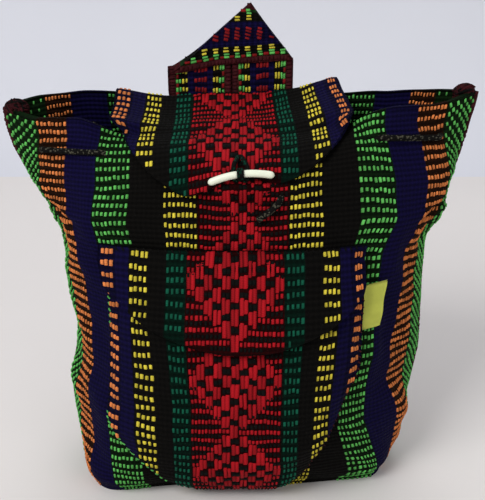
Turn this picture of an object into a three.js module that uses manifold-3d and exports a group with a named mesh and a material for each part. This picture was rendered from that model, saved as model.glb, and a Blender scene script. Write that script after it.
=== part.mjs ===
// Handwoven drawstring backpack: a striped cloth bag with a flap held by a toggle, a front pocket
// and one band of webbing folded to a point and sewn on as two shoulder straps.
// Millimetres, +Z up, front towards -Y, origin on the floor under the middle of the bag.

import * as THREE from 'three';
import { mergeVertices } from 'three/addons/utils/BufferGeometryUtils.js';
import Module from 'manifold-3d';

const wasm = await Module();
wasm.setup();

// The bag's form, from the floor to the rim
const BAG_HEIGHT = 333;
const MOUTH_HALF_WIDTH = 187;
const MOUTH_HALF_DEPTH = 48;
const NECK_HEIGHT = 228;
const NECK_HALF_WIDTH = 157;
const NECK_HALF_DEPTH = 75;
const BELLY_HEIGHT = 115;
const BELLY_HALF_WIDTH = 154;
const BELLY_HALF_DEPTH = 86;
const FOLD_HEIGHT = 16;
const FOLD_HALF_WIDTH = 144;
const FOLD_HALF_DEPTH = 67;
const FLOOR_HALF_WIDTH = 136;
const FLOOR_HALF_DEPTH = 54;

// The mouth as it stands: the back rim sags in the middle, and under the flap the front panel bends
// back over the mouth. Both fade out towards the side seams. The turns are in degrees.
const RIM_SAG = 7;
const RIM_SAG_REACH = 70;
const LEAN_DROP = 48;
const LEAN_BEND = 32;
const LEAN_START = 14;
const LEAN_END = 82;
const LEAN_FADE = [70, 128];

// Cloth: thickness, the side seams' depth, the turned-in edges of what is sewn on, the height of the
// raised stripes and the room between layers
const CLOTH = 3;
const SEAM_DEPTH = 6;
const EDGE_TURN = 0.6;
const STRIPE_RISE = 0.8;
const STRIPE_SLOPE = 1;
const LAYER_GAP = 0.7;
const WIDE_STRIPE = 15;

// Stripes of the bag cloth from the middle of a panel out to its side seam
const BAG_STRIPES = [
  { width: 36, raised: true }, // red
  { width: 26, raised: true }, // yellow
  { width: 25, raised: false }, // black
  { width: 26, raised: true }, // green
  { width: 28, raised: false }, // navy
  { width: 25, raised: true }, // orange
  { width: 27, raised: true }, // green
  { width: 4, raised: true }, // maroon
];

// Stripes of the accent cloth, which the flap and the pocket are cut from
const ACCENT_STRIPES = [
  { width: 36, raised: true }, // red
  { width: 17, raised: true }, // dark green
  { width: 12, raised: false }, // black
  { width: 16, raised: true }, // yellow
  { width: 10, raised: false }, // navy
  { width: 14, raised: true }, // orange
];

// Stripes of the strap webbing
const STRAP_STRIPES = [
  { width: 5, raised: true }, // red
  { width: 6, raised: false }, // navy
  { width: 15, raised: true }, // yellow and green
];

// Main flap: a tongue sewn on behind the rim that goes over the mouth and hangs down the front
const SEWN_OFFSET = -6;
const FLAP_SEAM_DROP = 30;
const FLAP_FRONT_DROP = 60;
const FLAP_NOTCH = 6;
const FLAP_SKEW = 8;
const FLAP_END_HALF_WIDTH = 40;
const FLAP_ROUND = 50;
const FLAP_ROUNDING = 1.5;
const FLAP_CURL = 4;
const FLAP_NARROWED = { left: 0.94, right: 0.86 };
const FLAP_PEAK = 13;
const FLAP_PEAK_FROM = 15;

// The flap over the back rim: behind it and above it, as shares of the flap's lift off the cloth.
// The flap over the mouth: share of the way to the front rim, and height above the back rim.
// The last number is the share that each place has of the peak at the right.
const FLAP_OVER_RIM = [[0.8, 0.67, 0.8], [-0.33, 1.4, 0.9]];
const FLAP_OVER_MOUTH = [[0.26, -3, 1], [0.56, -8.5, 1], [0.82, -11.5, 0.7]];

// Front pocket and its flap
const POCKET_SEAM_DROP = 98;
const POCKET_MOUTH_DROP = 12;
const POCKET_BOTTOM = 9;
const POCKET_CORNER = { width: 70, height: 100, curve: 1.75 };
const POCKET_BULGE = 13;
const POCKET_BULGE_LOW = 0.7;
const POCKET_MOUTH_SLACK = 12;
const POCKET_FLAP_MIDDLE = 75;
const POCKET_FLAP_SIDE = 31;
const POCKET_FLAP_TAPER = 1.2;

// Shoulder straps: their bow is set by shares of the way down and of the widest bow
const STRAP_THICKNESS = 3;
const STRAP_OFFSET = -9.5;
const STRAP_SPLIT = 1;
const STRAP_POINT_BASE = 23;
const STRAP_POINT_LEAN = 16;
const STRAP_SEAM_DROP = 28;
const STRAP_FOOT_HEIGHT = 24;
const STRAP_FOOT_OUT = 100;
const STRAP_BOW = 66;
const STRAP_BOW_LOW = 46;
const STRAP_BOWED = [[0.18, 0.35], [0.45, 0.85], [0.72, 1], [0.9, 0.93]];

// Drawstring, laced through the cloth below the rim, with one end left hanging at the front
const CORD_DIAMETER = 4;
const CORD_DROP = 23;
const CORD_HOLE_PLAY = 0.35;
const CORD_FRONT_OUT = [104, 166];
const CORD_BACK_OUT = [126, 166];
const CORD_PASS = 16;
const CORD_STEP = 11;
const CORD_TAIL_HOLE = [31, 60];
const CORD_TAIL = [[27, 67], [20, 73], [12, 78]];

// Toggle with the cords that hold it
const TOGGLE_LENGTH = 49;
const TOGGLE_DIAMETER = 5.6;
const TOGGLE_WAIST = 4.2;
const TOGGLE_ARCH = 4;
const TOGGLE_TILT = 7;
const TOGGLE_OVER_END = 5.3;
const TOGGLE_OFFSET = -1.5;
const TOGGLE_END_ROUND = 0.6;
const TOGGLE_STAND_OFF = 9;
const TIE_CORD = 2.4;
const TIE_GAP = 0.3;
const TIE_DROP = 10;
const LOOP_HEIGHT = 17;
const LOOP_SPREAD = 5.5;

// Bare label in the pocket's side seam
const LABEL_WIDTH = 17;
const LABEL_HEIGHT = 37;
const LABEL_THICKNESS = 0.8;
const LABEL_DROP = 20;
const LABEL_SLANT = 3;

const FRONT = -1;
const BACK = 1;

const totalWidth = (stripes) => stripes.reduce((sum, stripe) => sum + stripe.width, 0);
const CLOTH_HALF_WIDTH = totalWidth(BAG_STRIPES);
const ACCENT_HALF_WIDTH = totalWidth(ACCENT_STRIPES);
const STRAP_HALF_WIDTH = totalWidth(STRAP_STRIPES);
const POCKET_SEAM = BAG_HEIGHT - POCKET_SEAM_DROP;
const POCKET_TOP = POCKET_SEAM - POCKET_MOUTH_DROP;
const FLAP_END = BAG_HEIGHT - FLAP_FRONT_DROP + FLAP_SKEW + FLAP_NOTCH;
const TOGGLE_HEIGHT = FLAP_END + TOGGLE_OVER_END;
const TIE_HEIGHT = FLAP_END - TIE_DROP;
const LEAN_FROM = BAG_HEIGHT - LEAN_DROP;
const LEAN_RINGS = 6;
const LEAN_STEP = LEAN_DROP / LEAN_RINGS;

// Sections: height, half width, half depth, squareness across and squareness in depth.
// Each is a lens with flattened faces, whose corners are the side seams.
const SECTIONS = [
  [0, FLOOR_HALF_WIDTH, FLOOR_HALF_DEPTH, 7, 1.7],
  [FOLD_HEIGHT, FOLD_HALF_WIDTH, FOLD_HALF_DEPTH, 7, 1.5],
  [BELLY_HEIGHT, BELLY_HALF_WIDTH, BELLY_HALF_DEPTH, 4, 1.3],
  [NECK_HEIGHT, NECK_HALF_WIDTH, NECK_HALF_DEPTH, 2.7, 1.4],
  [BAG_HEIGHT, MOUTH_HALF_WIDTH, MOUTH_HALF_DEPTH, 2.8, 1],
];
const sectionSizes = new THREE.CubicInterpolant(
  SECTIONS.map((section) => section[0]),
  SECTIONS.flatMap((section) => section.slice(1)),
  4,
);

// A quarter of the section at one height, from the middle of a panel to the side seam
class QuarterSection extends THREE.Curve {
  constructor(height) {
    super();
    [this.halfWidth, this.halfDepth, this.across, this.inDepth] = sectionSizes.evaluate(height);
  }

  getPoint(t, target = new THREE.Vector3()) {
    const share = 1 - (1 - t) ** 2;
    const depth = Math.max(0, 1 - share ** this.across) ** (1 / this.inDepth);
    return target.set(this.halfWidth * share, this.halfDepth * depth, 0);
  }
}

const sections = new Map();

function sectionAt(height) {
  if (!sections.has(height)) sections.set(height, new QuarterSection(height));
  return sections.get(height);
}

function smoothShare(value, from, to) {
  return THREE.MathUtils.smoothstep(value, from, to);
}

// The cloth's outer face before it settles: s runs along the cloth from the middle of the panel
function plainPoint(s, height, side) {
  const share = Math.min(Math.abs(s) / CLOTH_HALF_WIDTH, 1);
  const point = sectionAt(height).getPointAt(share);
  return new THREE.Vector3(Math.sign(s) * point.x, side * point.y, height);
}

// How far cloth that bends back has come, back and up, at a length past the start of its bend
function leanedBy(length) {
  const start = THREE.MathUtils.degToRad(LEAN_START);
  const end = THREE.MathUtils.degToRad(LEAN_END);
  const perLength = (end - start) / LEAN_BEND;
  const turn = start + perLength * Math.min(length, LEAN_BEND);
  const straight = Math.max(0, length - LEAN_BEND);
  return {
    back: (Math.cos(start) - Math.cos(turn)) / perLength + straight * Math.sin(end),
    up: (Math.sin(turn) - Math.sin(start)) / perLength + straight * Math.cos(end),
  };
}

// The cloth's outer face as the bag stands; above the bend, height is measured along the cloth
function wallPoint(s, height, side) {
  const point = plainPoint(s, height, side);
  const middle = 1 - smoothShare(Math.abs(s - SEWN_OFFSET), ...LEAN_FADE);
  if (side === BACK) {
    point.z -= RIM_SAG * middle * smoothShare(height, BAG_HEIGHT - RIM_SAG_REACH, BAG_HEIGHT);
  } else if (height > LEAN_FROM) {
    const { back, up } = leanedBy(height - LEAN_FROM);
    const leaned = plainPoint(s, LEAN_FROM, side);
    point.lerp(leaned.set(point.x, leaned.y + back, LEAN_FROM + up), middle);
  }
  return point;
}

function wallNormal(s, height, side) {
  if (Math.abs(s) >= CLOTH_HALF_WIDTH) return new THREE.Vector3(Math.sign(s), 0, 0);
  const step = 0.5;
  const across = wallPoint(s + step, height, side).sub(wallPoint(s - step, height, side));
  const low = Math.max(0, height - step);
  const high = Math.min(BAG_HEIGHT, height + step);
  const along = wallPoint(s, high, side).sub(wallPoint(s, low, side));
  return across.cross(along).multiplyScalar(-side).normalize();
}

function liftedPoint(s, height, side, lift) {
  return wallPoint(s, height, side).addScaledVector(wallNormal(s, height, side), lift);
}

// The inside of the bag at a depth below the cloth's outer face, deeper at the side seams
function insidePoint(s, height, side, depth, seamDepth) {
  const { halfWidth, halfDepth } = sectionAt(height);
  const point = wallPoint(s, height, side);
  point.x *= 1 - seamDepth / halfWidth;
  point.y *= 1 - depth / halfDepth;
  const bent = smoothShare(height, NECK_HEIGHT, LEAN_FROM);
  const awayFromSeam = 1 - smoothShare(Math.abs(s), LEAN_FADE[1], CLOTH_HALF_WIDTH);
  return point.lerp(liftedPoint(s, height, side, -depth), bent * awayFromSeam);
}

// Lines along the cloth: each raised stripe slopes down to the ground weave at its edges
function stripeLines(stripes) {
  const lines = [{ s: 0, rise: stripes[0].raised ? STRIPE_RISE : 0 }];
  let start = 0;
  stripes.forEach((stripe, index) => {
    const end = start + stripe.width;
    const rise = stripe.raised ? STRIPE_RISE : 0;
    const last = index === stripes.length - 1;
    if (stripe.raised && index > 0) lines.push({ s: start + STRIPE_SLOPE, rise });
    if (stripe.width > WIDE_STRIPE) lines.push({ s: (start + end) / 2, rise });
    if (stripe.raised && !last) lines.push({ s: end - STRIPE_SLOPE, rise });
    lines.push({ s: end, rise: last ? rise : 0 });
    start = end;
  });
  return lines;
}

function mirroredLines(stripes) {
  const half = stripeLines(stripes);
  const left = half.slice(1).map(({ s, rise }) => ({ s: -s, rise }));
  return [...left.reverse(), ...half];
}

// Closes a bent geometry: joins its shared corners, drops flat slivers and turns its faces out
function closedSolid(geometry) {
  geometry.deleteAttribute('normal');
  geometry.deleteAttribute('uv');
  const merged = mergeVertices(geometry, 1e-4);
  const source = merged.index.array;
  const points = merged.attributes.position;
  const corner = [new THREE.Vector3(), new THREE.Vector3(), new THREE.Vector3()];
  const faces = [];
  let volume = 0;
  for (let i = 0; i < source.length; i += 3) {
    const face = [source[i], source[i + 1], source[i + 2]];
    if (new Set(face).size < 3) continue;
    face.forEach((vertex, k) => corner[k].fromBufferAttribute(points, vertex));
    volume += corner[0].dot(corner[1].cross(corner[2]));
    faces.push(face);
  }
  if (volume < 0) faces.forEach((face) => face.reverse());
  merged.setIndex(faces.flat());
  return merged;
}

function toManifold(geometry) {
  const vertProperties = Float32Array.from(geometry.attributes.position.array);
  const triVerts = Uint32Array.from(geometry.index.array);
  return new wasm.Manifold(new wasm.Mesh({ numProp: 3, vertProperties, triVerts }));
}

function fromManifold(manifold) {
  const { vertProperties, triVerts } = manifold.getMesh();
  const geometry = new THREE.BufferGeometry();
  geometry.setAttribute('position', new THREE.BufferAttribute(vertProperties, 3));
  geometry.setIndex(new THREE.BufferAttribute(triVerts, 1));
  return geometry;
}

// A sheet of cloth: a flat box bent so that its middle layer follows place(line, share).
// Seen with the lines running to the right and the share running up, the raised side faces the viewer.
function clothSheet(lines, rows, thickness, place) {
  const columns = lines.length - 1;
  const middle = [];
  for (let row = 0; row <= rows; row += 1) {
    middle.push(lines.map((line) => place(line.s, row / rows)));
  }
  const faceAt = (row, column) => {
    const right = middle[row][Math.min(column + 1, columns)];
    const left = middle[row][Math.max(column - 1, 0)];
    const above = middle[Math.min(row + 1, rows)][column];
    const below = middle[Math.max(row - 1, 0)][column];
    return right.clone().sub(left).cross(above.clone().sub(below)).normalize();
  };
  const geometry = new THREE.BoxGeometry(1, 1, 1, columns, rows, 1);
  const position = geometry.attributes.position;
  for (let i = 0; i < position.count; i += 1) {
    const column = Math.round((position.getX(i) + 0.5) * columns);
    const row = Math.round((position.getY(i) + 0.5) * rows);
    const lift = position.getZ(i) > 0 ? thickness / 2 + lines[column].rise : -thickness / 2;
    const point = middle[row][column].clone().addScaledVector(faceAt(row, column), lift);
    position.setXYZ(i, point.x, point.y, point.z);
  }
  return closedSolid(geometry);
}

function cordAlong(points, diameter, step, sides = 8) {
  const path = new THREE.CatmullRomCurve3(points, false, 'centripetal');
  const section = new THREE.Shape();
  for (let side = 0; side < sides; side += 1) {
    const angle = (2 * Math.PI * side) / sides;
    const corner = [(Math.cos(angle) * diameter) / 2, (Math.sin(angle) * diameter) / 2];
    if (side === 0) section.moveTo(...corner);
    else section.lineTo(...corner);
  }
  const steps = Math.round(path.getLength() / step);
  return closedSolid(new THREE.ExtrudeGeometry(section, { steps, extrudePath: path, curveSegments: 1 }));
}

// The bag: one cloth folded at the bottom and sewn up both sides, open at the rim
function bagGeometry() {
  const half = stripeLines(BAG_STRIPES);
  const inner = half.slice(1, -1).reverse();
  const turn = [
    ...half.map(({ s, rise }) => ({ s, rise, side: FRONT })),
    ...inner.map(({ s, rise }) => ({ s, rise, side: BACK })),
    ...half.map(({ s, rise }) => ({ s: -s, rise, side: BACK })),
    ...inner.map(({ s, rise }) => ({ s: -s, rise, side: FRONT })),
  ];
  turn.push(turn[0]);

  const outside = [];
  const fromTo = (from, to, count) => {
    for (let i = 0; i < count; i += 1) outside.push(from + ((to - from) * i) / count);
  };
  fromTo(0, FOLD_HEIGHT, 3);
  fromTo(FOLD_HEIGHT, BELLY_HEIGHT, 4);
  fromTo(BELLY_HEIGHT, NECK_HEIGHT, 4);
  fromTo(NECK_HEIGHT, LEAN_FROM, 3);
  fromTo(LEAN_FROM, BAG_HEIGHT, LEAN_RINGS);
  const inside = outside.filter((height, index) => height >= LEAN_FROM || index % 3 === 1).reverse();
  outside.push(BAG_HEIGHT);

  const rings = [
    { height: 0, share: 0 },
    ...outside.map((height) => ({ height, share: 1 })),
    { height: BAG_HEIGHT, share: 1, within: true },
    ...inside.map((height) => ({ height, share: 1, within: true })),
    { height: CLOTH, share: 1, within: true },
    { height: CLOTH, share: 0 },
  ];
  const profile = rings.map((ring, index) => new THREE.Vector2(ring.share, index));
  const geometry = new THREE.LatheGeometry(profile, turn.length - 1);
  const position = geometry.attributes.position;
  for (let i = 0; i < position.count; i += 1) {
    const { s, rise, side } = turn[Math.floor(i / rings.length)];
    const { height, share, within } = rings[i % rings.length];
    const lift = rise * smoothShare(height, 0, FOLD_HEIGHT);
    let point = new THREE.Vector3(0, 0, height);
    if (share > 0) {
      point = within
        ? insidePoint(s, height, side, CLOTH, SEAM_DEPTH)
        : liftedPoint(s, height, side, lift);
      if (height < NECK_HEIGHT) point.z = height;
    }
    position.setXYZ(i, point.x, point.y, point.z);
  }
  return closedSolid(geometry);
}

// The drawstring's way round the mouth: outside on four stretches, inside between them
function drawstringPoints() {
  const height = BAG_HEIGHT - CORD_DROP;
  const radius = CORD_DIAMETER / 2;
  const outsideLift = STRIPE_RISE + LAYER_GAP + radius;
  const insideDepth = CLOTH + 2 * LAYER_GAP + radius;
  const seamDepth = SEAM_DEPTH + 3 * radius;
  const laced = (s, side) => {
    const [from, to] = side === FRONT ? CORD_FRONT_OUT : CORD_BACK_OUT;
    const away = Math.abs(s);
    const enter = smoothShare(away, from - CORD_PASS / 2, from + CORD_PASS / 2);
    const out = enter * (1 - smoothShare(away, to - CORD_PASS / 2, to + CORD_PASS / 2));
    const insideAt = insidePoint(s, height, side, insideDepth, seamDepth);
    return insideAt.lerp(liftedPoint(s, height, side, outsideLift), out);
  };
  const [tailS, tailDrop] = CORD_TAIL_HOLE;
  const tailHeight = BAG_HEIGHT - tailDrop;
  const tail = CORD_TAIL.map(([s, drop]) => liftedPoint(s, BAG_HEIGHT - drop, FRONT, outsideLift));
  const points = [
    ...tail.reverse(),
    liftedPoint(tailS, tailHeight, FRONT, radius / 2),
    insidePoint(tailS + CORD_STEP / 2, tailHeight + CORD_STEP, FRONT, insideDepth, seamDepth),
  ];
  const start = tailS + 2 * CORD_STEP;
  const runs = [
    { from: start, to: CLOTH_HALF_WIDTH, side: FRONT },
    { from: CLOTH_HALF_WIDTH, to: -CLOTH_HALF_WIDTH, side: BACK },
    { from: -CLOTH_HALF_WIDTH, to: -start, side: FRONT },
  ];
  runs.forEach(({ from, to, side }) => {
    const count = Math.round(Math.abs(to - from) / (CORD_PASS / 2));
    for (let i = 0; i < count; i += 1) points.push(laced(from + ((to - from) * i) / count, side));
  });
  return points;
}

// Main flap: each line of the cloth goes up the back, sags into the mouth and goes down the front,
// where it is cut off at the flap's rounded end
function flapGeometry() {
  const lift = STRIPE_RISE + LAYER_GAP + CLOTH / 2;
  const lineOf = (s) => {
    const at = SEWN_OFFSET + s * (s < 0 ? FLAP_NARROWED.left : FLAP_NARROWED.right);
    const curl = FLAP_CURL * Math.abs(s / ACCENT_HALF_WIDTH) ** 4;
    const peak = FLAP_PEAK * smoothShare(s, FLAP_PEAK_FROM, ACCENT_HALF_WIDTH);
    const rim = wallPoint(at, BAG_HEIGHT, BACK);
    const mouth = rim.y - wallPoint(at, BAG_HEIGHT, FRONT).y;
    const onBack = (share) => liftedPoint(at, BAG_HEIGHT - FLAP_SEAM_DROP * share, BACK, lift);
    const fromRim = (back, up) => new THREE.Vector3(rim.x, rim.y + back, rim.z + up);
    const overRim = ([back, up, share]) => fromRim(back * lift, up * lift + peak * share);
    const overMouth = ([forward, up, share]) => fromRim(-forward * mouth, up + peak * share);
    const onFront = (height) => {
      return liftedPoint(at, height, FRONT, lift + curl * smoothShare(height, LEAN_FROM, BAG_HEIGHT));
    };
    const points = [
      ...[1, 0.6, 0.2].map(onBack),
      ...FLAP_OVER_RIM.map(overRim),
      ...FLAP_OVER_MOUTH.map(overMouth),
    ];
    for (let drop = 0; drop < FLAP_FRONT_DROP + LEAN_STEP; drop += LEAN_STEP) {
      points.push(onFront(BAG_HEIGHT - drop));
    }
    return new THREE.CatmullRomCurve3(points, false, 'centripetal');
  };
  const endHeight = (s) => {
    const away = Math.abs(s);
    const lobe = smoothShare(away, 0, FLAP_END_HALF_WIDTH);
    const corner = Math.max(0, away - FLAP_END_HALF_WIDTH) / (ACCENT_HALF_WIDTH - FLAP_END_HALF_WIDTH);
    const skew = FLAP_SKEW * (1 + THREE.MathUtils.clamp(s / FLAP_END_HALF_WIDTH, -1, 1));
    const straight = BAG_HEIGHT - FLAP_FRONT_DROP + skew + FLAP_NOTCH * (1 - lobe);
    return straight + FLAP_ROUND * corner ** FLAP_ROUNDING;
  };
  const lines = mirroredLines(ACCENT_STRIPES);
  const rows = lineOf(0).points.length - 1;
  const steps = 40 * rows;
  const cloth = new Map(lines.map(({ s }) => {
    const line = lineOf(s);
    let step = steps;
    while (step > 0 && line.getPoint(step / steps).z < endHeight(s)) step -= 1;
    return [s, { line, end: step / steps }];
  }));
  return clothSheet(lines, rows, CLOTH, (s, share) => {
    const { line, end } = cloth.get(s);
    return line.getPoint(Math.min(1 - share, end));
  });
}

// How far the pocket's middle layer stands off the bag's cloth: sewn at its sides and bottom
const SEWN_LIFT = STRIPE_RISE + LAYER_GAP + EDGE_TURN + CLOTH / 2;

function pocketLowerEdge(s) {
  const { width, height, curve } = POCKET_CORNER;
  const into = Math.max(0, Math.abs(s) - ACCENT_HALF_WIDTH + width) / width;
  return POCKET_BOTTOM + height * into ** curve;
}

function pocketLift(s, height) {
  const low = pocketLowerEdge(s);
  const up = THREE.MathUtils.clamp((height - low) / (POCKET_TOP - low), 0, 1);
  const across = 1 - (s / ACCENT_HALF_WIDTH) ** 4;
  const belly = POCKET_BULGE * Math.sin(Math.PI * up ** POCKET_BULGE_LOW);
  const mouth = POCKET_MOUTH_SLACK * up ** 2;
  return SEWN_LIFT + across * (belly + mouth);
}

function pocketGeometry() {
  const rows = 12;
  return clothSheet(mirroredLines(ACCENT_STRIPES), rows, CLOTH, (s, share) => {
    const height = THREE.MathUtils.lerp(pocketLowerEdge(s), POCKET_TOP, share ** 1.4);
    return liftedPoint(s + SEWN_OFFSET, height, FRONT, pocketLift(s, height));
  });
}

// Pocket flap: sewn to the bag above the pocket's mouth and hanging over it
function pocketFlapGeometry() {
  const rows = 8;
  return clothSheet(mirroredLines(ACCENT_STRIPES), rows, CLOTH, (s, share) => {
    const bell = Math.cos((Math.PI / 2) * (s / ACCENT_HALF_WIDTH)) ** POCKET_FLAP_TAPER;
    const length = THREE.MathUtils.lerp(POCKET_FLAP_SIDE, POCKET_FLAP_MIDDLE, bell);
    const height = POCKET_SEAM - length * (1 - share);
    const over = 1 - smoothShare(height, POCKET_TOP + 2 * CLOTH, POCKET_SEAM);
    const outer = pocketLift(s, Math.min(height, POCKET_TOP)) + CLOTH + STRIPE_RISE + LAYER_GAP;
    const lift = THREE.MathUtils.lerp(SEWN_LIFT - EDGE_TURN, outer, over);
    return liftedPoint(s + SEWN_OFFSET, height, FRONT, lift);
  });
}

// Shoulder straps: one band folded to a point above the rim, its two legs sewn on behind the flap,
// bowing out behind the bag and sewn on again near the bottom corners
function strapGeometry() {
  const flapOuter = STRIPE_RISE + LAYER_GAP + CLOTH + STRIPE_RISE;
  const lift = flapOuter + 2 * LAYER_GAP + STRAP_THICKNESS / 2;
  const pointBase = BAG_HEIGHT + STRAP_POINT_BASE;
  const standing = wallPoint(STRAP_OFFSET, BAG_HEIGHT, BACK).y + lift;
  const footLift = STRIPE_RISE + LAYER_GAP + STRAP_THICKNESS / 2;
  const seam = BAG_HEIGHT - STRAP_SEAM_DROP;

  const leg = (hand) => {
    const top = STRAP_OFFSET + hand * (STRAP_HALF_WIDTH + STRAP_SPLIT / 2);
    const foot = liftedPoint(hand * STRAP_FOOT_OUT, STRAP_FOOT_HEIGHT, BACK, footLift);
    const bowed = (down, out) => {
      const height = THREE.MathUtils.lerp(seam, STRAP_FOOT_HEIGHT, down);
      const x = THREE.MathUtils.lerp(top, foot.x, smoothShare(down, 0.1, 1));
      return new THREE.Vector3(x, wallPoint(top, height, BACK).y + lift + out, height);
    };
    const low = bowed(1, STRAP_BOW_LOW);
    low.z = STRAP_FOOT_HEIGHT / 2;
    const path = new THREE.CatmullRomCurve3([
      new THREE.Vector3(top, standing, pointBase),
      new THREE.Vector3(top, standing, BAG_HEIGHT),
      liftedPoint(top, seam, BACK, lift).setX(top),
      ...STRAP_BOWED.map(([down, bow]) => bowed(down, STRAP_BOW * bow)),
      low,
      foot,
    ], false, 'centripetal');
    const rows = 20;
    return clothSheet(mirroredLines(STRAP_STRIPES), rows, STRAP_THICKNESS, (s, share) => {
      const t = 1 - share;
      const side = new THREE.Vector3(-1, 0, 0);
      const tangent = path.getTangentAt(t);
      side.addScaledVector(tangent, -side.dot(tangent)).normalize();
      return path.getPointAt(t).addScaledVector(side, s);
    });
  };

  const half = 2 * STRAP_HALF_WIDTH + STRAP_SPLIT / 2;
  const shape = new THREE.Shape();
  shape.moveTo(-half, 0);
  shape.lineTo(half, 0);
  shape.lineTo(STRAP_POINT_LEAN, 2 * STRAP_HALF_WIDTH);
  shape.closePath();
  const point = new THREE.ExtrudeGeometry(shape, { depth: 2 * STRAP_THICKNESS, bevelEnabled: false });
  point.rotateX(Math.PI / 2);
  point.translate(STRAP_OFFSET, standing + STRAP_THICKNESS / 2, pointBase - LAYER_GAP);
  const legs = toManifold(leg(1)).add(toManifold(leg(-1)));
  return fromManifold(legs.add(toManifold(closedSolid(point))));
}

// Toggle: a rod with a waist, arched up in the middle
function toggleGeometry() {
  const half = TOGGLE_LENGTH / 2;
  const radius = TOGGLE_DIAMETER / 2;
  const waist = TOGGLE_WAIST / 2;
  const profile = [new THREE.Vector2(0, -half)];
  const stations = 16;
  for (let i = 0; i <= stations; i += 1) {
    const along = -half + (TOGGLE_LENGTH * i) / stations;
    const groove = Math.exp(-((along / TIE_CORD) ** 2));
    const end = Math.max(0, Math.abs(along) - half + radius) / radius;
    const rounded = radius * Math.sqrt(1 - TOGGLE_END_ROUND * end ** 2);
    profile.push(new THREE.Vector2(rounded + (waist - radius) * groove, along));
  }
  profile.push(new THREE.Vector2(0, half));
  const geometry = new THREE.LatheGeometry(profile, 10);
  geometry.rotateZ(-Math.PI / 2);
  const position = geometry.attributes.position;
  for (let i = 0; i < position.count; i += 1) {
    const sag = TOGGLE_ARCH * (position.getX(i) / half) ** 2;
    position.setZ(i, position.getZ(i) - sag);
  }
  return closedSolid(geometry);
}

// The toggle lies in front of the flap's lower edge, with room behind it for the loop
const toggleCentre = liftedPoint(TOGGLE_OFFSET, TOGGLE_HEIGHT, FRONT, 0);
toggleCentre.y -= STRIPE_RISE + LAYER_GAP + CLOTH + TOGGLE_STAND_OFF;

// Tie: a ring of cord in the toggle's waist on a stem that is sewn to the bag's cloth
function tieGeometry() {
  const ringRadius = TOGGLE_WAIST / 2 + TIE_GAP + TIE_CORD / 2;
  const ring = new THREE.TorusGeometry(ringRadius, TIE_CORD / 2, 6, 14);
  ring.rotateY(Math.PI / 2);
  ring.translate(...toggleCentre);
  const behind = toggleCentre.clone();
  behind.y += ringRadius;
  const anchor = liftedPoint(TOGGLE_OFFSET, TIE_HEIGHT, FRONT, STRIPE_RISE + TIE_GAP + TIE_CORD / 2);
  const stem = cordAlong([behind, behind.clone().lerp(anchor, 0.5), anchor], TIE_CORD, TIE_CORD);
  return fromManifold(toManifold(closedSolid(ring)).add(toManifold(stem)));
}

// Loop: one cord from the flap, spread behind the toggle and caught under the tie's stem
function loopGeometry() {
  const clear = TIE_GAP + TIE_CORD / 2;
  const face = STRIPE_RISE + LAYER_GAP + CLOTH + STRIPE_RISE;
  const top = TOGGLE_HEIGHT + LOOP_HEIGHT;
  const low = TIE_HEIGHT + TIE_CORD;
  const before = (s, height, away) => liftedPoint(TOGGLE_OFFSET + s, height, FRONT, face + away);
  const strand = [
    [TIE_CORD / 2 + TIE_GAP, top, clear],
    [LOOP_SPREAD * 0.6, top - LOOP_HEIGHT * 0.35, 1.5 * clear],
    [LOOP_SPREAD, top - LOOP_HEIGHT * 0.75, 2 * clear],
    [LOOP_SPREAD, TOGGLE_HEIGHT - TIE_CORD, 2 * clear],
    [LOOP_SPREAD * 0.6, low, clear],
  ];
  const left = strand.map(([s, height, away]) => before(-s, height, away));
  const right = strand.map(([s, height, away]) => before(s, height, away)).reverse();
  return cordAlong([...left, ...right], TIE_CORD, 2 * TIE_CORD);
}

// Label: a bare strip caught in the pocket's side seam
function labelGeometry() {
  const edge = ACCENT_HALF_WIDTH + SEWN_OFFSET + TIE_GAP;
  const lines = [{ s: 0, rise: 0 }, { s: LABEL_WIDTH / 2, rise: 0 }, { s: LABEL_WIDTH, rise: 0 }];
  const lift = STRIPE_RISE + LAYER_GAP + LABEL_THICKNESS / 2;
  const rows = 4;
  return clothSheet(lines, rows, LABEL_THICKNESS, (s, share) => {
    const top = POCKET_TOP - LABEL_DROP + (s / LABEL_WIDTH) * LABEL_SLANT;
    const height = top - (1 - share) * LABEL_HEIGHT;
    return liftedPoint(edge + s, height, FRONT, lift);
  });
}

function piece(name, geometry, colour, roughness) {
  const material = new THREE.MeshStandardMaterial({ color: colour, roughness, metalness: 0 });
  const mesh = new THREE.Mesh(geometry, material);
  mesh.name = name;
  return mesh;
}

const cordRoute = drawstringPoints();
const cordHoles = cordAlong(cordRoute, CORD_DIAMETER + 2 * CORD_HOLE_PLAY, CORD_STEP);
const bagWithHoles = fromManifold(toManifold(bagGeometry()).subtract(toManifold(cordHoles)));

const toggle = piece('toggle', toggleGeometry(), 0xeff0dc, 0.35);
toggle.position.copy(toggleCentre);
toggle.rotation.y = -THREE.MathUtils.degToRad(TOGGLE_TILT);

const backpack = new THREE.Group();
backpack.name = 'backpack';
backpack.add(
  piece('bag_body', bagWithHoles, 0x1c1440, 0.9),
  piece('main_flap', flapGeometry(), 0xa8121c, 0.9),
  piece('front_pocket', pocketGeometry(), 0xa8121c, 0.9),
  piece('pocket_flap', pocketFlapGeometry(), 0xa8121c, 0.9),
  piece('shoulder_strap', strapGeometry(), 0x3a1216, 0.9),
  piece('drawstring', cordAlong(cordRoute, CORD_DIAMETER, CORD_STEP), 0x1a1915, 0.9),
  toggle,
  piece('toggle_tie', tieGeometry(), 0x16201a, 0.9),
  piece('toggle_loop', loopGeometry(), 0x16201a, 0.9),
  piece('side_label', labelGeometry(), 0xc6cc46, 0.8),
);

export default backpack;
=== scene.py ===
"""Handwoven drawstring backpack: cloth, float yarns, webbing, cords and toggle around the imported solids."""

import math

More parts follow.
